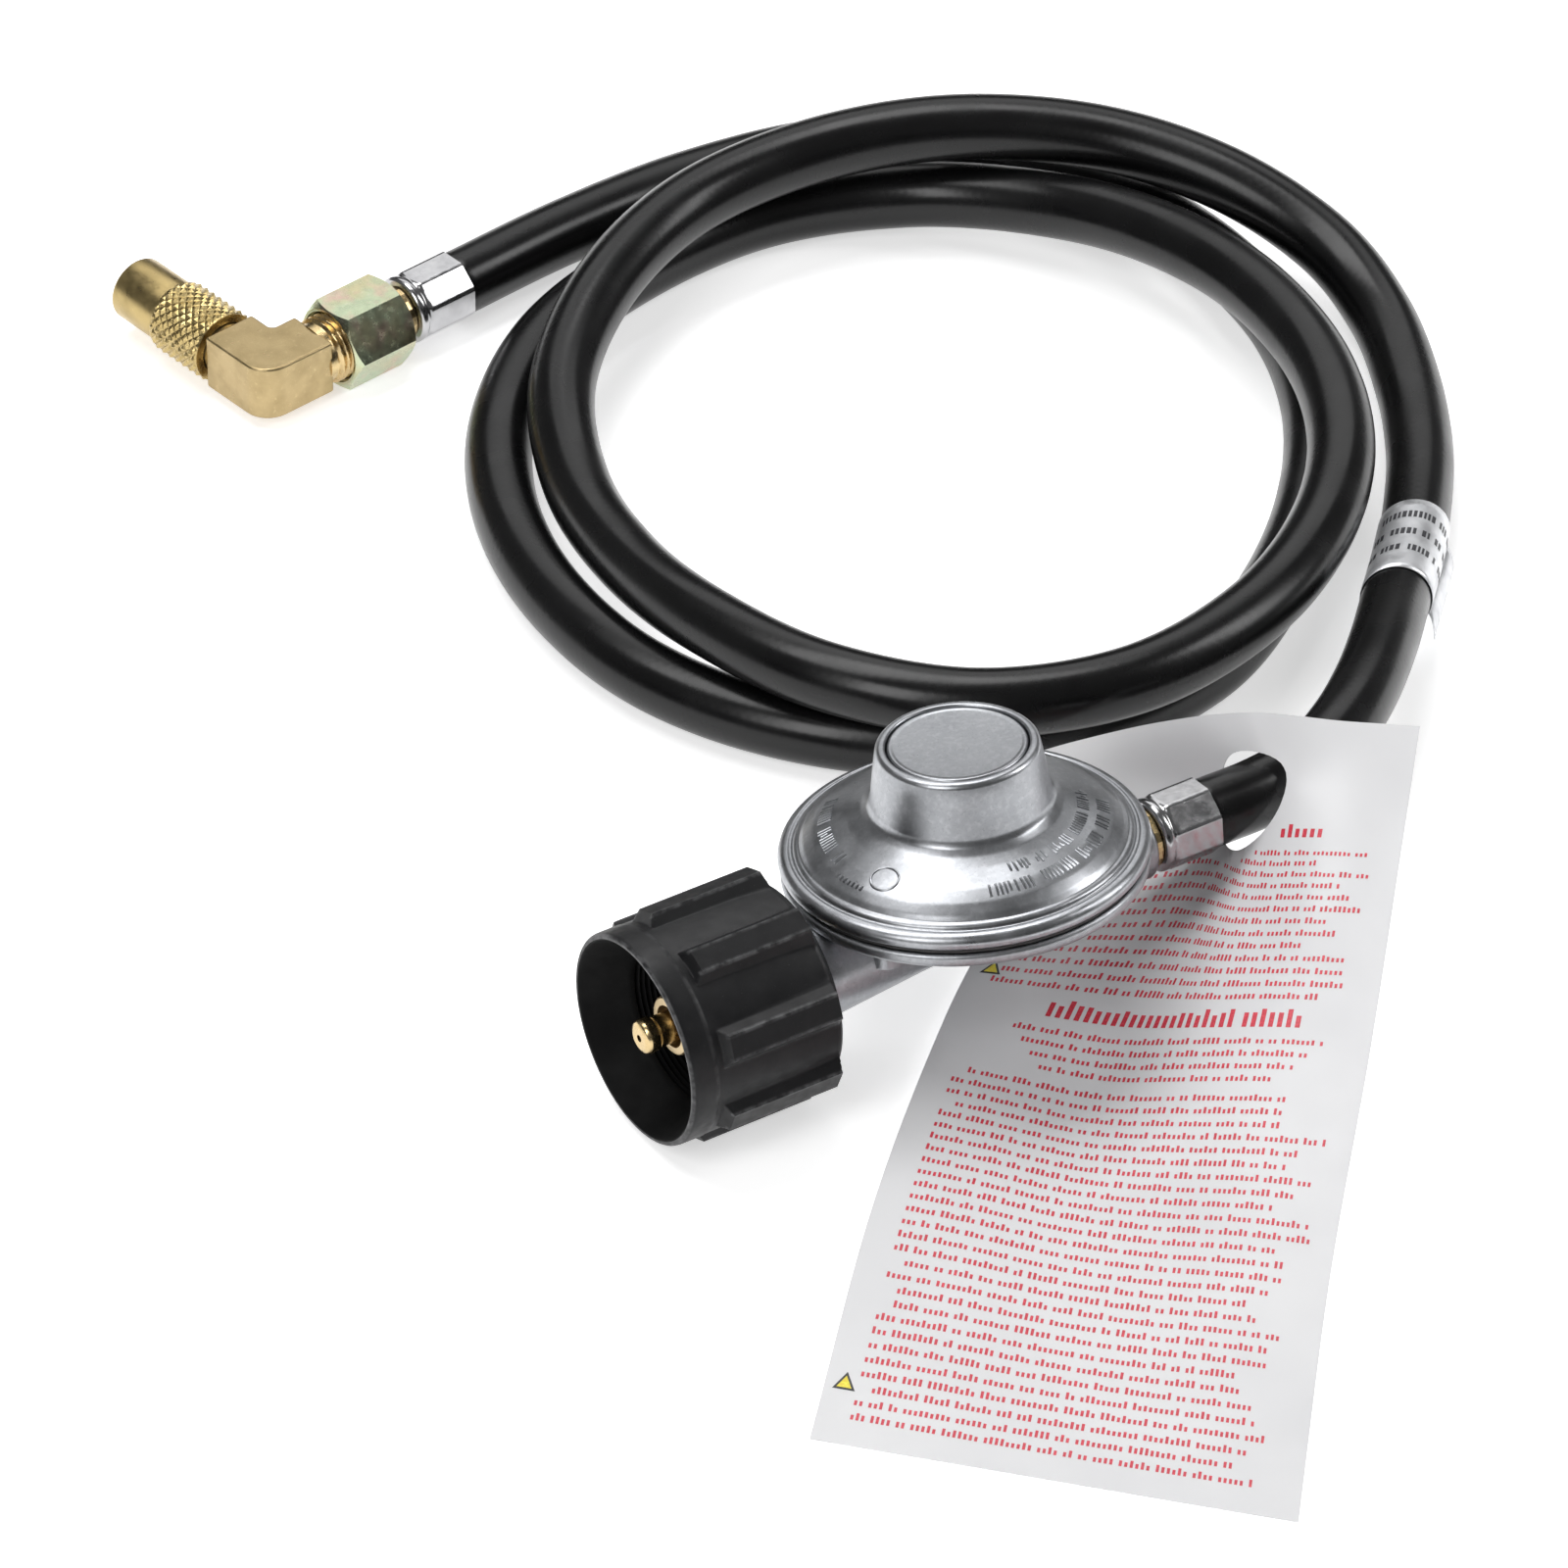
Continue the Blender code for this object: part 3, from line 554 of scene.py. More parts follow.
def dress(item, look, body, *nodes, slot=None):
    """Gives a piece its material, its body, and the CAD nodes that it stands for."""
    item.data.materials.clear()
    item.data.materials.append(look)
    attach(item, body)
    if nodes:
        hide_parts(*nodes)
    return item


def boolean(item, tool, operation):
    """Joins, cuts or crosses a piece with a tool, which goes."""
    modifier = item.modifiers.new(operation.lower(), "BOOLEAN")
    modifier.operation = operation
    modifier.object = tool
    modifier.solver = "EXACT"
    settle(item)
    bpy.data.objects.remove(tool, do_unlink=True)


def settle(item):
    """Applies an object's modifiers."""
    bpy.context.view_layer.update()
    ready = item.evaluated_get(bpy.context.evaluated_depsgraph_get())
    item.data = bpy.data.meshes.new_from_object(ready)
    item.modifiers.clear()


def thicken(item, thickness):
    """Gives a surface its thickness, mm, half to each side."""
    thick = item.modifiers.new("thick", "SOLIDIFY")
    thick.thickness = thickness * MM
    thick.offset = 0.0
    settle(item)


def ease(item, width, segments, sharp):
    """Bevels the edges that turn by more than an angle, by a width in mm."""
    bevel = item.modifiers.new("edge", "BEVEL")
    bevel.width = width * MM
    bevel.segments = segments
    bevel.limit_method = "ANGLE"
    bevel.angle_limit = math.radians(sharp)
    settle(item)


def resharpen(item, sharp):
    """Smooth again but for edges sharper than an angle, once a boolean has made new faces."""
    for face in item.data.polygons:
        face.use_smooth = True
    item.data.set_sharp_from_angle(angle=math.radians(sharp))


# ---------------- the hose and what is on it
class Hose:
    """The hose's centreline, with a steady frame that doesn't twist along it."""

    def __init__(self):
        line = smooth_line([Vector(point) * MM for point in HOSE_ROUTE], 24)
        for point in line:
            point.z = max(point.z, (HOSE_R + 0.05) * MM)
        self.points = line
        self.reach = [0.0]
        for a, b in zip(line, line[1:]):
            self.reach.append(self.reach[-1] + (b - a).length)
        self.length = self.reach[-1]
        self.frames = []
        up = Vector((0, 0, 1))
        for k in range(len(line)):
            ahead = (line[min(k + 1, len(line) - 1)] - line[max(k - 1, 0)]).normalized()
            up = (up - ahead * up.dot(ahead)).normalized()
            self.frames.append((ahead, up, ahead.cross(up)))

    def at(self, distance):
        """The centre, and the ahead, up and side directions, at a distance in metres."""
        k = 0
        while k < len(self.reach) - 2 and self.reach[k + 1] < distance:
            k += 1
        share = (distance - self.reach[k]) / (self.reach[k + 1] - self.reach[k])
        centre = self.points[k].lerp(self.points[k + 1], share)
        return (centre, *(self.frames[k][n].lerp(self.frames[k + 1][n], share) for n in range(3)))

    def around(self, distance, angle, radius):
        """A point on or off the hose's skin: distance in metres, radius in mm."""
        centre, _, up, side = self.at(distance)
        return centre + (up * math.cos(angle) + side * math.sin(angle)) * radius * MM


END_REACH, END_EASE = 0.0012, 0.35           # a cut end: past the route, metres, and thinner, mm


def hose_piece(hose, look):
    """The tube, closed flat at its two cut ends."""
    last = len(hose.points) - 1
    rings = []
    for k in range(-1, last + 2):
        past = -1 if k < 0 else int(k > last)
        index = min(max(k, 0), last)
        ahead, up, side = hose.frames[index]
        centre = hose.points[index] + ahead * (END_REACH * past)
        rings.append(hoop(centre, up, side, (HOSE_R - (END_EASE if past else 0.0)) * MM, 40))
    start = hose.points[0] - hose.frames[0][0] * END_REACH
    end = hose.points[-1] + hose.frames[-1][0] * END_REACH
    return dress(skin("hose_tube", [[start], *rings, [end]]), look, "regulator", "hose")


LABEL_START, LABEL_END = 0.1043, 0.1362      # along the hose, metres
LABEL_R = 7.78                                # the foil's radius round the hose, mm
FOIL_WRAP = 0.82                              # the share of the foil that goes round the hose
FOIL_SKEW = 0.0012                            # how far it runs out of true, metres
TAIL_ANGLE = 1.95                             # where its two ends meet, round the hose, radians
TAIL_REACH = 3.4                              # how far its tail stands off the hose, mm


def label_point(hose, along, across, lift=0.0):
    """A point on the foil: along from 0 to 1 on the hose, across from 0 to 1 round it and up the tail."""
    distance = LABEL_START + (LABEL_END - LABEL_START) * along
    if across <= FOIL_WRAP:
        angle = TAIL_ANGLE + math.tau * across / FOIL_WRAP
        return hose.around(distance + FOIL_SKEW * math.sin(angle), angle, LABEL_R + lift)
    share = (across - FOIL_WRAP) / (1 - FOIL_WRAP)
    centre, ahead, up, side = hose.at(distance + FOIL_SKEW * math.sin(TAIL_ANGLE))
    outward = up * math.cos(TAIL_ANGLE) + side * math.sin(TAIL_ANGLE)
    round_way = -up * math.sin(TAIL_ANGLE) + side * math.cos(TAIL_ANGLE)
    curl = round_way * (2.4 * share ** 2 + 0.5 * math.sin(5 * along) * share)
    tail = (outward * (LABEL_R + lift + TAIL_REACH * share) + curl) * MM
    return centre + tail + ahead * (-0.005 * share)


def foil_label(hose, foil, print_look):
    """The silver label, with dashes where such a label has its print."""
    rows = [[label_point(hose, along, across) for across in span(0, 1, 1 / 64)]
            for along in span(0, 1, 1 / 14)]
    label = skin("foil_wrap", rows, closed=False)
    thicken(label, 0.12)
    dress(label, foil, "regulator", "foil_label")
    marks = []
    draw = random.Random(3)
    for row in range(3):
        reach = 0.38 + 0.02 * row
        while reach < 0.77:
            wide = draw.choice((0.009, 0.012, 0.015))
            if draw.random() < 0.82:
                marks.append(box(0.28 + 0.24 * row, reach, 0.085, wide))
            reach += wide + 0.007
    dark = quads("foil_print", marks, lambda along, across: label_point(hose, along, across, 0.09))
    dress(dark, print_look, "regulator", slot="foil_label")
    return [label, dark]


def box(x, y, wide, tall):
    """A rectangle's four places from its first corner."""
    return [(x, y), (x + wide, y), (x + wide, y + tall), (x, y + tall)]


def quads(name, cells, surface):
    """Small printed patches on a surface, each from four places on it."""
    shape = bmesh.new()
    for cell in cells:
        shape.faces.new([shape.verts.new(surface(*corner)) for corner in cell])
    return keep(name, shape, 60)


# ---------------- the paper tag
TAG_STEPS = 14
PAPER = 0.16                 # the card's thickness, mm
HOLE_R = 9.6                 # punched hole round the hose, mm


class TagSheet:
    """The tag's middle surface, read by its place on the flat card."""

    def __init__(self):
        rows = [smooth_line([Vector(point) * MM for point in row], TAG_STEPS) for row in TAG_ROWS]
        self.grid = [smooth_line([row[k] for row in rows], TAG_STEPS) for k in range(len(rows[0]))]
        self.columns, self.rows = len(self.grid), len(self.grid[0])
        draw = random.Random(11)
        waves = [(draw.uniform(0.6, 2.2), draw.uniform(0.5, 3.0), draw.uniform(0, 6.28)) for _ in range(5)]
        for i, column in enumerate(self.grid):
            for j, point in enumerate(column):
                across, down = i / (self.columns - 1), j / (self.rows - 1)
                ripple = sum(math.sin(math.tau * (a * across + b * down) + c) for a, b, c in waves)
                point.z += ripple * 0.10 * MM * smoothstep(down, 0.0, 0.2) * smoothstep(1 - down, 0.0, 0.15)
                point.z = max(point.z, 0.25 * MM)

    def at(self, across, down, lift=0.0):
        """across is 0 at the left edge and 1 at the right, down 0 at the punched end; lift in mm."""
        x = min(max(1 - across, 0.0), 1.0) * (self.columns - 1)
        y = min(max(down, 0.0), 1.0) * (self.rows - 1)
        i, j = min(int(x), self.columns - 2), min(int(y), self.rows - 2)
        a, b = self.grid[i][j], self.grid[i + 1][j]
        c, d = self.grid[i][j + 1], self.grid[i + 1][j + 1]
        point = a.lerp(b, x - i).lerp(c.lerp(d, x - i), y - j)
        normal = (c - a).cross(b - a).normalized()
        if normal.z < 0:
            normal = -normal
        return point + normal * lift * MM


def paper_tag(tag, hose, look):
    """The card, punched where the hose goes through it."""
    shape = bmesh.new()
    grid = [[shape.verts.new(point) for point in column] for column in tag.grid]
    for left, right in zip(grid, grid[1:]):
        for a, b, c, d in zip(left, right, right[1:], left[1:]):
            shape.faces.new((a, b, c, d))
    card = keep("tag_card", shape, 60)
    thicken(card, PAPER)
    start = hose.points[0] - Vector((18.5 * MM, 0, 0))
    path = [start, *[hose.at(0.004 * k)[0] for k in range(25)]]
    rings = [[path[0]]]
    for k, point in enumerate(path):
        ahead = (path[min(k + 1, len(path) - 1)] - path[max(k - 1, 0)]).normalized()
        up = (Vector((0, 0, 1)) - ahead * ahead.z).normalized()
        rings.append(hoop(point, up, ahead.cross(up), HOLE_R * MM, 48))
    rings.append([path[-1]])
    boolean(card, skin("tag_punch", rings), "DIFFERENCE")
    resharpen(card, 50)
    return dress(card, look, "regulator", "paper_tag")


def word_cells(draw, down, left, right, tall, glyph, gap, word):
    """Bars that stand for a line of small print, broken into words."""
    cells = []
    reach = left
    while reach < right - glyph:
        for _ in range(draw.choice(word)):
            if reach > right - glyph:
                break
            top = down - tall * draw.choice((0.66, 0.66, 1.0, 0.8))
            cells.append([(reach, top), (reach + glyph, top), (reach + glyph, down), (reach, down)])
            reach += glyph + gap
        reach += glyph * 1.3
    return cells


def tag_print(tag, hose, red, yellow, black):
    """Bars in lines under two titles, and two plain signs, clear of the punched hole."""
    draw = random.Random(21)
    wide, tall = TAG_SIZE
    small = dict(tall=1.7 / tall, glyph=0.62 / wide, gap=0.50 / wide, word=(2, 3, 4, 5, 6, 7, 9))
    title = dict(tall=4.9 / tall, glyph=1.15 / wide, gap=0.95 / wide, word=(22,))
    cells = word_cells(draw, 0.235, 0.20, 0.80, **title) + word_cells(draw, 0.478, 0.22, 0.84, **title)
    lines = [(0.262 + 0.0152 * k, 0.06 + draw.uniform(0, 0.03), 0.94 - draw.uniform(0, 0.14))
             for k in range(13)]
    lines += [(0.498 + 0.0150 * k, 0.16 + 0.03 * k, 0.90 - 0.03 * k) for k in range(4)]
    lines += [(0.566 + 0.0151 * k, 0.07 + draw.choice((0, 0, 0.03)), 0.95 - draw.uniform(0, 0.12))
              for k in range(28)]
    for down, left, right in lines:
        cells += word_cells(draw, down, left, right, **small)
    near = [hose.at(0.003 * k)[0] for k in range(30)]
    near += [hose.points[0] - Vector((0.003 * k, 0, 0)) for k in range(1, 7)]

    def clear(cell):
        middle = tag.at(*cell[0])
        return min((middle - point).length for point in near) > (HOLE_R + 2.0) * MM

    lift = PAPER / 2 + 0.03
    marks = quads("tag_print", [cell for cell in cells if clear(cell)], lambda a, d: tag.at(a, d, lift))
    dress(marks, red, "regulator", slot="paper_tag")
    signs = [marks]
    for name, look, size, extra in (("tag_sign_edges", black, 1.0, 0.0),
                                    ("tag_signs", yellow, 0.66, 0.03)):
        corners = []
        for across, down in ((0.052, 0.435), (0.042, 0.945)):
            half, high = 0.024 * size, 0.0185 * size
            low = down - 0.0185 * (1 - size) / 3
            corners.append([(across - half, low), (across + half, low), (across, low - high)])
        sign = quads(name, corners, lambda a, d, e=extra: tag.at(a, d, lift + e))
        dress(sign, look, "regulator", slot="paper_tag")
        signs.append(sign)
    return signs


# ---------------- the regulator
BONNET_PROFILE = [
    (14.85, 37.4), (14.85, 39.5), (15.2, 39.8), (16.2, 39.8), (17.0, 39.1), (17.5, 36.0), (18.75, 27.4),
    (19.3, 26.2), (20.8, 25.1), (23.5, 23.8), (28.0, 21.95), (31.0, 20.4), (33.0, 18.9), (33.9, 17.9),
    (34.5, 17.75), (35.1, 17.35), (35.3, 16.75), (35.9, 16.7), (36.3, 16.95), (37.3, 16.75), (38.1, 16.1),
    (38.45, 15.2), (38.3, 14.1), (37.8, 13.65), (31.2, 13.6), (31.2, 16.2), (22.0, 21.0), (14.6, 27.0),
    (14.6, 36.9)]


def bonnet(look):
    shell = lathe("bonnet_shell", loop_profile(BONNET_PROFILE), GAS_PATH, 160, 0.45, 55)
    return dress(shell, look, "regulator", "bonnet")


def dome_height(radius):
    """The dome's height over the gas path at a radius, mm."""
    return read(BONNET_PROFILE[5:15], radius)


def dome_bar(shape, angle, low, high, half, lift=0.24):
    """A raised bar that runs up the dome, between two radii, at an angle."""
    levels = []
    for height, narrow in ((-0.25, 0.0), (lift * 0.6, 0.0), (lift, 0.08)):
        level = []
        near, far = low + narrow, high - narrow
        for radius, side in ((near, -1), (near, 1), (far, 1), (far, -1)):
            turn = angle + side * (half - narrow) / radius
            level.append(shape.verts.new(polar(GAS_PATH, radius, turn, dome_height(radius) + height)))
        levels.append(level)
    shape.faces.new(levels[0][::-1])
    shape.faces.new(levels[-1])
    for below, above in zip(levels, levels[1:]):
        for k in range(4):
            after = (k + 1) % 4
            shape.faces.new((below[k], below[after], above[after], above[k]))


def dome_marks(look):
    """Plain raised bars in arcs, where such a casting has its cast notes."""
    shape = bmesh.new()
    draw = random.Random(5)
    for low, high, first, last in ((27.6, 30.2, -112, -22), (23.6, 26.0, -100, -18), (27.0, 29.8, 128, 176),
                                   (27.2, 29.6, 22, 58)):
        degrees = first
        while degrees < last:
            for _ in range(draw.choice((3, 4, 5, 7, 9))):
                if degrees > last:
                    break
                cut = draw.choice((0.0, 0.0, 0.0, 0.9))
                first_radius = low + cut * draw.choice((0, 1))
                dome_bar(shape, math.radians(degrees), first_radius, high - cut * 0.5, 0.26)
                degrees += draw.choice((1.9, 1.9, 2.8))
            degrees += 3.4
    for k in range(7):
        dome_bar(shape, math.radians(-178 + 2.2 * k), 30.6, 31.5, 0.22)
    bmesh.ops.recalc_face_normals(shape, faces=shape.faces)
    return dress(keep("dome_marks", shape, 40), look, "regulator", slot="bonnet")


def dome_ring(look):
    """A plain raised ring on the dome, beside the bars."""
    middle, wire = 27.6, 0.26          # how far out its middle is, and the ring's own thickness
    rings = []
    for turn in full_turn(64):
        circle = []
        for tilt in full_turn(10):
            radius = middle + (2.5 + wire * math.cos(tilt)) * math.sin(turn)
            angle = math.radians(-158) + (3.1 + wire * math.cos(tilt)) * math.cos(turn) / middle
            height = dome_height(radius) + 0.02 + wire * math.sin(tilt)
            circle.append(polar(GAS_PATH, radius, angle, height))
        rings.append(circle)
    rings.append(rings[0])
    return dress(skin("dome_ring", rings), look, "regulator", slot="bonnet")


def tower_cap(look):
    cap = lathe("cap_disc", [
        (0, 39.45), (13.2, 39.45), (13.7, 39.6), (14.15, 39.6), (14.5, 39.2), (14.5, 37.6), (0, 37.2)],
        GAS_PATH, 128, 0.25)
    return dress(cap, look, "regulator", "tower_cap")


def regulator_body(look):
    """The lower casting: flange and bowl, with the tubes that the gas goes in and out by."""
    bowl = lathe("body_casting", loop_profile([
        (31.2, 12.4), (37.5, 12.4), (38.1, 11.8), (38.1, 10.3), (37.2, 9.3), (33.0, 8.0), (28.0, 5.0),
        (20.0, -1.0), (12.0, -6.0), (6.0, -8.1), (0.5, -8.4), (0.5, -5.5), (8.0, -3.6), (12.0, -1.5),
        (20.0, 3.0), (30.0, 9.0), (31.2, 10.0)]), GAS_PATH, 128, 0.5)
    inlet = lathe("inlet_tube", [
        (0, 3.0), (7.8, 3.0), (8.6, -14.0), (10.4, -36.0), (10.4, -40.0), (9.6, -41.0), (7.1, -41.0),
        (7.1, -30.0), (0, -30.0)], GAS_AXIS, 64, 0.5)
    outlet = lathe("outlet_tube", [
        (0, 42.5), (7.2, 42.5), (8.2, 41.6), (8.2, 34.0), (8.2, -2.0), (0, -2.0)],
        GAS_AXIS, 64, 0.5)
    vent = lathe("vent_lump", [(0, 9.6), (3.6, 9.6), (4.4, 0.0), (0, 0.0)],
                GAS_PATH @ Matrix.Translation(Vector((-25.0, -7.5, 1.0)) * MM), 24, 0.6)
    for solid in (inlet, outlet, vent):
        boolean(bowl, solid, "UNION")
    pocket = lathe("lever_pocket", [(0, 13.4), (13.9, 13.4), (13.9, -3.2), (0, -3.2)], GAS_PATH, 48, 0)
    bore = lathe("gas_bore", [
        (0, 45.0), (5.3, 45.0), (5.3, 31.0), (2.6, 31.0), (2.6, 14.0), (6.6, 14.0), (6.6, -23.0),
        (5.3, -23.0), (5.3, -28.0), (6.9, -28.0), (6.9, -42.0), (0, -42.0)], GAS_AXIS, 40, 0)
    for hollow in (pocket, bore):
        boolean(bowl, hollow, "DIFFERENCE")
    resharpen(bowl, 40)
    return dress(bowl, look, "regulator", "regulator_body")


# ---------------- the cylinder nut
NUT_RIBS = 8
NUT_TURN = 7.2                                # degrees to straight down, between two ribs
RIB_TOP, RIB_HALF, RIB_SLOPE = 25.0, 2.75, 0.575
NUT_OUTLINE = [                               # (along its axis, plain outer radius), mm
    (-81.0, 22.3), (-80.85, 22.62), (-80.4, 22.9), (-79.8, 23.0), (-75.2, 23.0), (-75.0, 22.85),
    (-53.0, 22.6), (-46.0, 22.1), (-45.2, 21.9), (-44.4, 21.2), (-44.0, 20.5)]


def rib_angle(angle):
    """How far an angle is from the middle of the nearest rib, radians."""
    pitch = math.tau / NUT_RIBS
    turned = (angle - math.radians(NUT_TURN) - pitch / 2) % pitch
    return min(turned, pitch - turned)


def nut_radius(angle, height):
    """The nut's outer radius, mm: its outline, or a rib where that stands higher."""
    off = rib_angle(angle)
    top = RIB_TOP / math.cos(off)
    side = (RIB_HALF + RIB_TOP * RIB_SLOPE) / (math.sin(off) + RIB_SLOPE * math.cos(off))
    front = (19.0 + (height + 75.5) * 6.0 / 3.5) / math.cos(off)
    rear = (19.0 + (-45.0 - height) * 6.0 / 1.2) / math.cos(off)
    return max(read(NUT_OUTLINE, height), min(top, side, front, rear))


def coupling_nut(look, bore_shade_look):
    """Hand nut: grips outside, a coarse thread inside, and a thin plain mouth."""
    marks = [0, 1.5, 3, 4.5, 5.85, 6.25, 6.65, 7.5, 8.5, 9.4, 9.8, 10.2, 10.6, 11.4, 13, 15.5, 19]
    pitch = 360.0 / NUT_RIBS
    angles = []
    for k in range(NUT_RIBS):
        middle = NUT_TURN + pitch / 2 + pitch * k
        offsets = sorted({-mark for mark in marks} | set(marks)) + [pitch / 2]
        angles += [math.radians(middle + offset) for offset in offsets]
    heights = [-81.0, -80.92, -80.7, -80.4, -79.8, -78, -76, -75.25, -75.0, -74.6]
    heights += span(-74.2, -71.4, 0.2) + span(-70, -47, 2.3) + span(-46.6, -44.4, 0.2) + [-44.2, -44.0]
    inner = [(20.5, -44.0), (7.6, -44.0), (7.6, -47.0), (11.6, -47.0), (11.6, -53.0), (16.6, -53.0)]
    turns = 14
    for k in range(turns * 6 + 1):
        height = -53.6 - 17.0 * k / (turns * 6)
        inner.append((17.1 - 0.5 * math.cos(math.tau * k / 6), height))
    inner += [(16.7, -71.2), (17.0, -72.0), (18.6, -74.6), (21.3, -80.2), (21.5, -80.8), (21.8, -81.0)]
    nut = field("nut_moulding", nut_radius, angles, heights, GAS_AXIS, inner, 45)
    wear = nut.data.attributes.new("wear", "FLOAT", "POINT")
    back = (GAS_AXIS).inverted()
    corner = math.atan(RIB_HALF / RIB_TOP)
    for k, vertex in enumerate(nut.data.vertices):
        spot = (back @ vertex.co) / MM
        radius = math.hypot(spot.x, spot.y)
        off = abs(rib_angle(math.atan2(spot.y, spot.x)) - corner)
        rubbed = 1.0 if off < math.radians(0.7) and radius > 24.4 else 0.0
        mouth = 1.0 if spot.z < -80.6 and radius > 21.2 else 0.0
        foot = 0.35 if abs(spot.z + 75.1) < 0.2 and radius > 22 else 0.0
        wear.data[k].value = max(rubbed, mouth, foot)
    steady(nut)
    dress(nut, look, "nut", "coupling_nut")
    # The bore's faces take the darker look below: painted shade inside the nut.
    nut.data.materials.append(bore_shade_look)
    for face in nut.data.polygons:
        spot = (back @ face.center) / MM
        if spot.z < -47.2 and math.hypot(spot.x, spot.y) < 21.75:
            face.material_index = 1
    return nut


def nipple(brass, bright):
    """The nipple that carries the nut, and the probe in its nose."""
    body = lathe("nipple_turning", loop_profile([
        (4.6, -72.6), (6.0, -72.6), (6.3, -72.3), (6.5, -71.0), (9.8, -62.5), (10.0, -61.0), (10.0, -55.5),
        (11.0, -55.0), (11.0, -51.8), (7.1, -51.6), (7.1, -41.3), (6.6, -41.3), (6.6, -28.2), (2.6, -28.2),
        (2.6, -62.0), (4.6, -63.0)]), GAS_AXIS, 96, 0.25)
    dress(body, brass, "regulator", "inlet_nipple")
    tip = lathe("probe_turning", loop_profile([
        (0.8, -79.75), (2.5, -79.8), (3.35, -79.4), (3.75, -78.6), (3.75, -76.7), (3.35, -76.2),
        (3.3, -67.0), (4.2, -66.6), (4.2, -64.5), (2.9, -64.5), (2.9, -71.0), (0.8, -71.6)]),
        GAS_AXIS, 72, 0.25)
    dress(tip, bright, "regulator", "probe")


# ---------------- the crimped ferrules
FLATS_TURN = 0.39                             # where the first of the eight flats is, radians


def ferrule(name, low, high, matrix, look, node):
    """A thin sleeve crimped to eight flats, that stays round at its collar."""
    wall = 0.55

    def radius_at(angle, height):
        flat = 7.78 / math.cos(((angle + FLATS_TURN) % (math.tau / 8)) - math.tau / 16)
        flat = min(flat, 8.28)
        collar = 8.0 if height > low + 0.9 else 8.0 - 0.6 * (1 - (height - low) / 0.9) ** 2
        crimp = smoothstep(height, low + 1.9, low + 3.4)
        dip = 0.30 * math.exp(-((height - low - 2.3) / 0.5) ** 2)
        return collar * (1 - crimp) + flat * crimp - dip

    heights = [low, low + 0.15, low + 0.4, low + 0.7, *span(low + 1.0, low + 3.6, 0.2),
               *span(low + 4.2, high - 0.3, 1.4), high - 0.12, high]
    inner = [(7.45, high), (7.35, high - 0.15), (7.0, high - 1.6), (7.0, low + wall),
             (4.6, low + wall), (4.6, low)]
    sleeve = field(name, radius_at, full_turn(160), heights, matrix, inner, 45)
    return dress(sleeve, look, "regulator", node)


def eyelet(look, dark):
    """The small inspection hole in the regulator's ferrule, with its burred lip."""
    turn = math.radians(-137)
    out = Vector((0, math.cos(turn), math.sin(turn)))
    spot = Vector((48.5, 0, 0)) + out * 7.72
    matrix = GAS_PATH @ Matrix.Translation(spot * MM) @ out.to_track_quat("Z", "Y").to_matrix().to_4x4()
    lip = lathe("eyelet_lip", loop_profile([
        (0.85, 0.05), (1.1, 0.26), (1.45, 0.16), (1.6, -0.3), (0.85, -0.3)]), matrix, 40, 0.1)
    dress(lip, look, "regulator", slot="regulator_ferrule")
    pit = lathe("eyelet_pit", [(0, 0.02), (0.84, 0.02), (0.84, -0.3), (0, -0.3)], matrix, 32, 0.05)
    dress(pit, dark, "regulator", slot="regulator_ferrule")


# ---------------- the far fitting
def flare_nut(look):
    """Hexagon nut with turned chamfers at both ends."""
    shape = bmesh.new()
    across, near, far = 19.05, 19.0, 36.4     # across its flats, and where its two faces are
    corner = across / 2 / math.cos(math.pi / 6)
    matrix = FAR_AXIS @ ALONG_X
    low, high = ([shape.verts.new(polar(matrix, corner, math.pi / 6 + turn, height))
                  for turn in full_turn(6)] for height in (near, far))
    shape.faces.new(low[::-1])
    shape.faces.new(high)
    for k in range(6):
        shape.faces.new((low[k], low[(k + 1) % 6], high[(k + 1) % 6], high[k]))
    nut = keep("flare_nut_hex", shape, 30)
    boolean(nut, lathe("nut_turning", [
        (0, far), (9.2, far), (11.3, far - 1.5), (11.3, near + 1.5), (9.2, near), (0, near)],
        matrix, 128, 0), "INTERSECT")
    boolean(nut, lathe("nut_inside", [
        (0, 37.0), (8.6, 37.0), (8.6, 36.2), (8.2, 35.6), (8.2, 27.3), (5.7, 27.3), (5.7, 18.0), (0, 18.0)],
        matrix, 96, 0), "DIFFERENCE")
    ease(nut, 0.22, 2, 25)
    resharpen(nut, 40)
    steady(nut)
    return dress(nut, look, "flare_nut", "flare_nut")


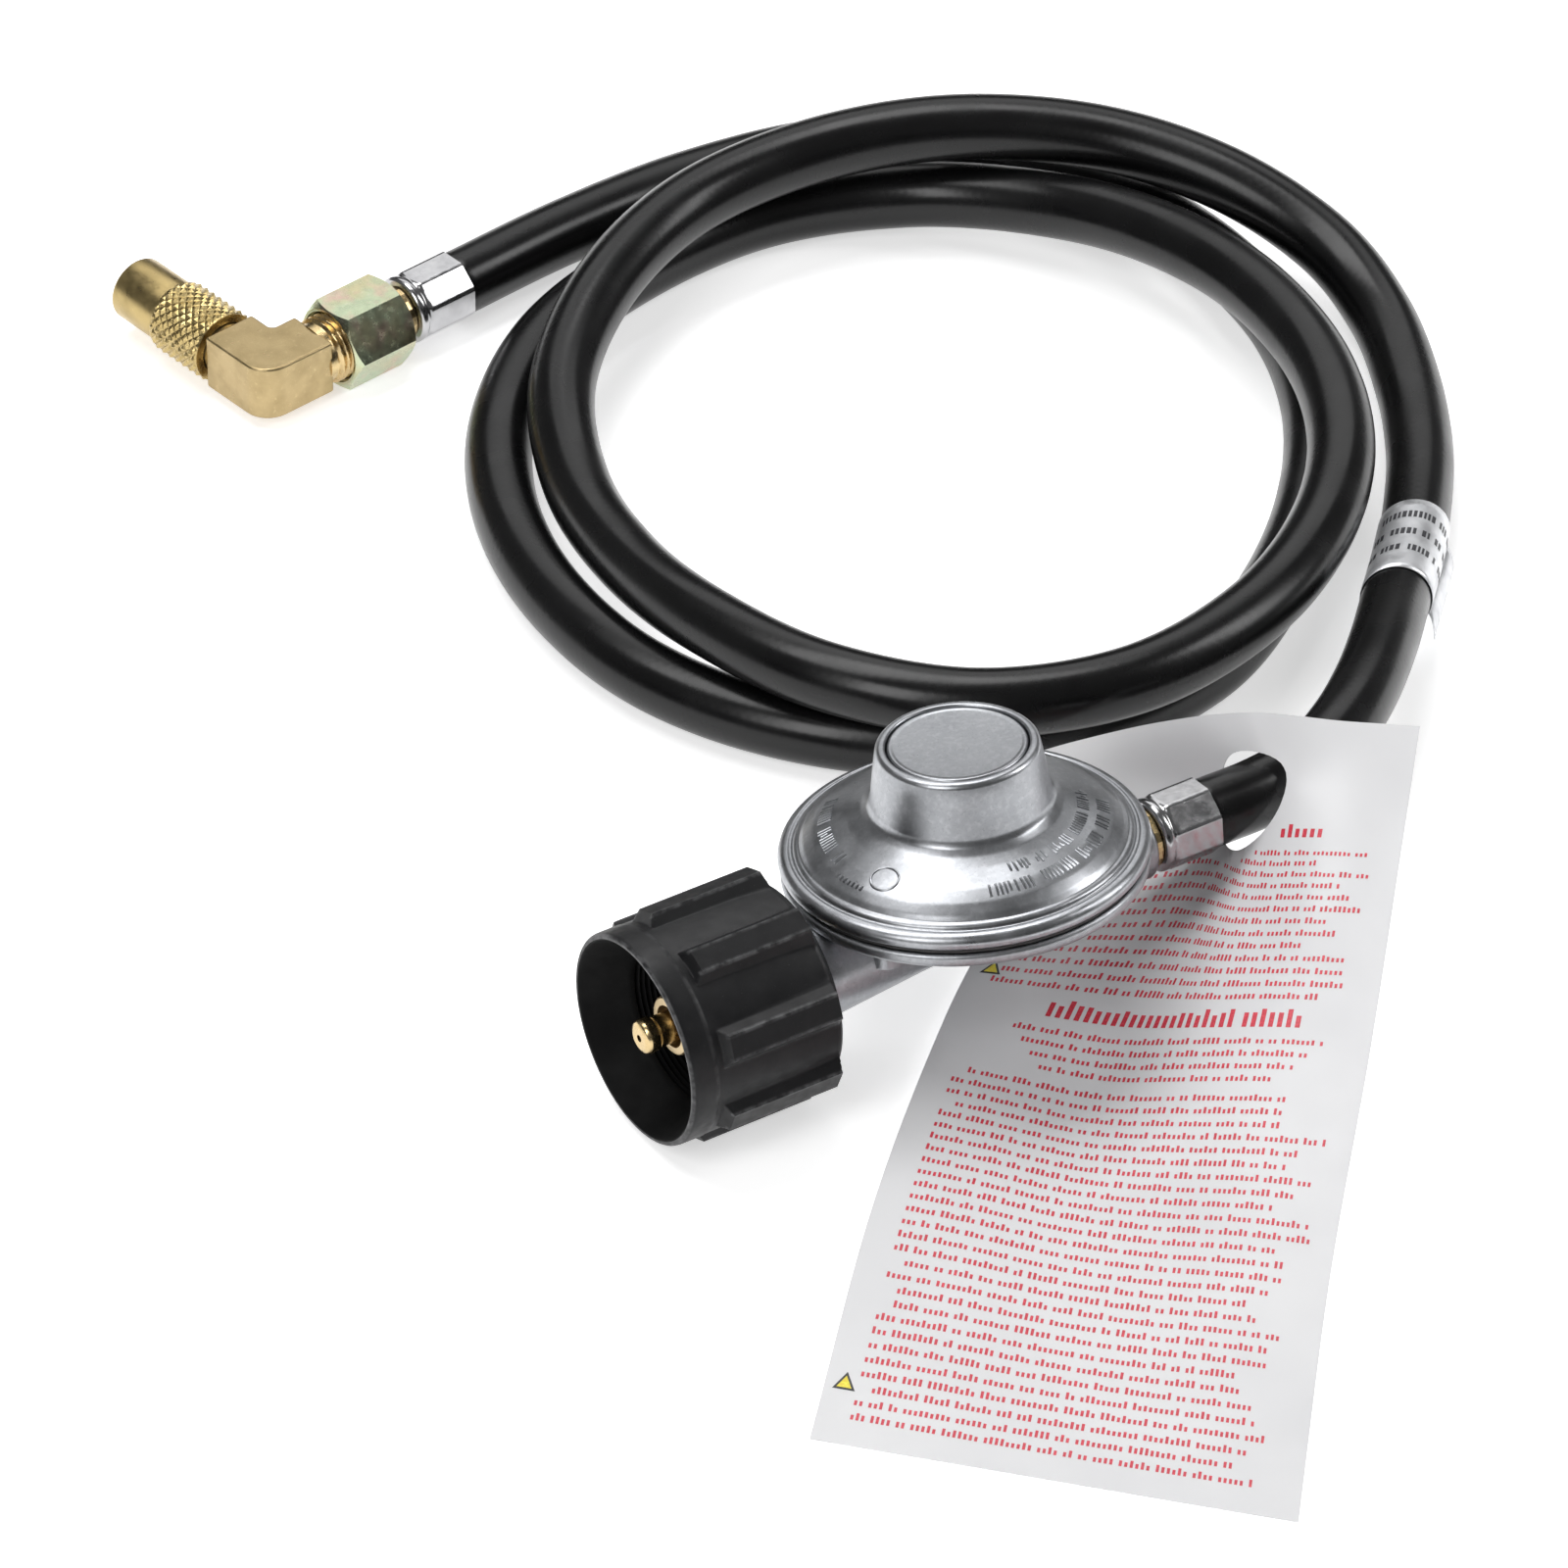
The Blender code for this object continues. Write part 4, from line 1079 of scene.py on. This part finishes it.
def elbow(look, thread_look):
    """Square forging with a rounded outer corner, eased edges and a threaded end."""
    half, arm_end, start = 6.7, -13.7, 40.6
    big = 6.2                                 # the outer corner's radius
    outline = [(start, -half), (CORNER_X - half - 0.9, -half), (CORNER_X - half, -half - 0.9),
               (CORNER_X - half, arm_end), (CORNER_X + half, arm_end)]
    for k in range(9):
        turn = math.radians(90) * k / 8
        outline.append((CORNER_X + half - big + big * math.cos(turn), half - big + big * math.sin(turn)))
    outline.append((start, half))
    shape = bmesh.new()
    base = shape.faces.new([shape.verts.new(FAR_AXIS @ (Vector((x, y, -half)) * MM)) for x, y in outline])
    pushed = bmesh.ops.extrude_face_region(shape, geom=[base])
    top = [item for item in pushed["geom"] if isinstance(item, bmesh.types.BMVert)]
    bmesh.ops.translate(shape, verts=top, vec=(0, 0, 2 * half * MM))
    bmesh.ops.recalc_face_normals(shape, faces=shape.faces)
    block = keep("elbow_forging", shape, 30)
    ease(block, 0.9, 3, 35)
    boolean(block, lathe("bore", [
        (0, 42.0), (3.4, 42.0), (3.4, 38.0), (0, 38.0)], FAR_AXIS @ ALONG_X, 48, 0), "DIFFERENCE")
    boolean(block, lathe("tail", [
        (0, 25.0), (6.0, 25.0), (6.0, 8.0), (0, 8.0)], NOZZLE_AXIS, 64, 0), "UNION")
    resharpen(block, 40)
    steady(block)
    dress(block, look, "elbow", "elbow")

    def ridge(angle, height):
        """A thread of 1.41 mm pitch that fades out where it starts."""
        turn = height / 1.41 - angle / math.tau
        wave = abs((turn % 1.0) - 0.5) * 2
        taper = smoothstep(height, 33.4, 34.6)
        return 6.9 + (1.05 * wave if height < 39.4 else 0.2) * taper - 0.5 * (1 - taper)

    thread = field("elbow_thread", ridge, full_turn(72), span(33.4, 41.4, 0.1175),
                   FAR_AXIS @ ALONG_X, [(3.4, 41.4), (3.4, 35.6), (6.2, 33.4)], 60)
    dress(thread, thread_look, "elbow", slot="elbow")
    return [block, thread]


def nozzle(knurled, brass):
    """Knurled sleeve, and the smooth tube that stands out of it."""
    ridges, pitch = 22, 2.35                  # diamonds round the sleeve, and their length

    def knurl(angle, height):
        rise = height / pitch
        first = abs(((ridges * angle / math.tau + rise) % 1.0) - 0.5) * 2
        second = abs(((ridges * angle / math.tau - rise) % 1.0) - 0.5) * 2
        edge = smoothstep(height, 15.3, 16.1) * smoothstep(31.9 - height, 0.0, 0.8)
        return 8.25 + 0.55 * min(first, second) * edge

    heights = [15.2, *span(15.4, 31.8, 0.2), 32.0]
    sleeve = field("knurled_sleeve", knurl, full_turn(ridges * 12), heights, NOZZLE_AXIS,
                   [(7.4, 32.1), (6.3, 32.1), (6.3, 15.2)], 25)
    dress(sleeve, knurled, "elbow", "nozzle_sleeve")
    spout = lathe("nozzle_tube", loop_profile([
        (6.45, 46.6), (7.1, 46.6), (7.5, 46.1), (7.5, 31.6), (6.2, 31.6), (6.2, 46.2)]), NOZZLE_AXIS, 96, 0.2)
    dress(spout, brass, "elbow", slot="nozzle_sleeve")
    return [sleeve, spout]


# ---------------- putting it together
camera()
studio()

SMOOTH_ZINC = cast_zinc("smooth_zinc", 0.012, 0.33)
ROUGH_ZINC = cast_zinc("rough_zinc", 0.060, 0.38)
BRASS = turned_brass("turned_brass", (0.66, 0.50, 0.26), 0.25)
DARK_BRASS = turned_brass("tube_brass", (0.50, 0.38, 0.17), 0.33)
BRIGHT = bright_steel()
STEEL = plated_steel()
PLASTIC = black_plastic()
SEAL = soft_rubber()

HOSE = Hose()
TAG = TagSheet()
tube = hose_piece(HOSE, black_rubber())
on_hose = foil_label(HOSE, silver_foil(), ink("label_ink", (0.03, 0.03, 0.035)))
card = paper_tag(TAG, HOSE, coated_paper())
print_pieces = tag_print(TAG, HOSE, ink("red_ink", (0.60, 0.035, 0.06)),
                         ink("yellow_ink", (0.85, 0.68, 0.04)), ink("black_ink", (0.02, 0.02, 0.02)))
on_hose.append(ferrule("far_ferrule", 0.0, 15.3, FERRULE_AXIS, BRIGHT, "fitting_ferrule"))
on_hose.append(flare_nut(yellow_zinc()))
on_hose += elbow(forged_brass(), BRASS)
on_hose += nozzle(knurled_brass(), DARK_BRASS)
on_hose += [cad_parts["hose_stem"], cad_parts["gas_jet"]]

bonnet(SMOOTH_ZINC)
dome_marks(SMOOTH_ZINC)
dome_ring(SMOOTH_ZINC)
tower_cap(SMOOTH_ZINC)
regulator_body(ROUGH_ZINC)
coupling_nut(PLASTIC, bore_painted_shade_plastic())
nipple(turned_brass("satin_brass", (0.78, 0.62, 0.38), 0.42), BRASS)
ferrule("near_ferrule", 44.3, 58.0, GAS_AXIS, BRIGHT, "regulator_ferrule")
eyelet(BRIGHT, SEAL)

INNER_LOOKS = {
    BRASS: ("diaphragm_stem", "orifice_seat", "valve_plunger", "flow_plunger", "hose_barb",
            "hose_stem", "gas_jet"),
    STEEL: ("diaphragm_plate", "adjusting_screw", "main_spring", "lever", "lever_pin", "lever_bracket",
            "bracket_screw"),
    SEAL: ("diaphragm", "valve_seat_disc"),
    PLASTIC: ("thermal_bushing",),
}
for look, nodes in INNER_LOOKS.items():
    for node in nodes:
        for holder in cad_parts[node].material_slots:
            holder.material = look

bpy.context.view_layer.update()
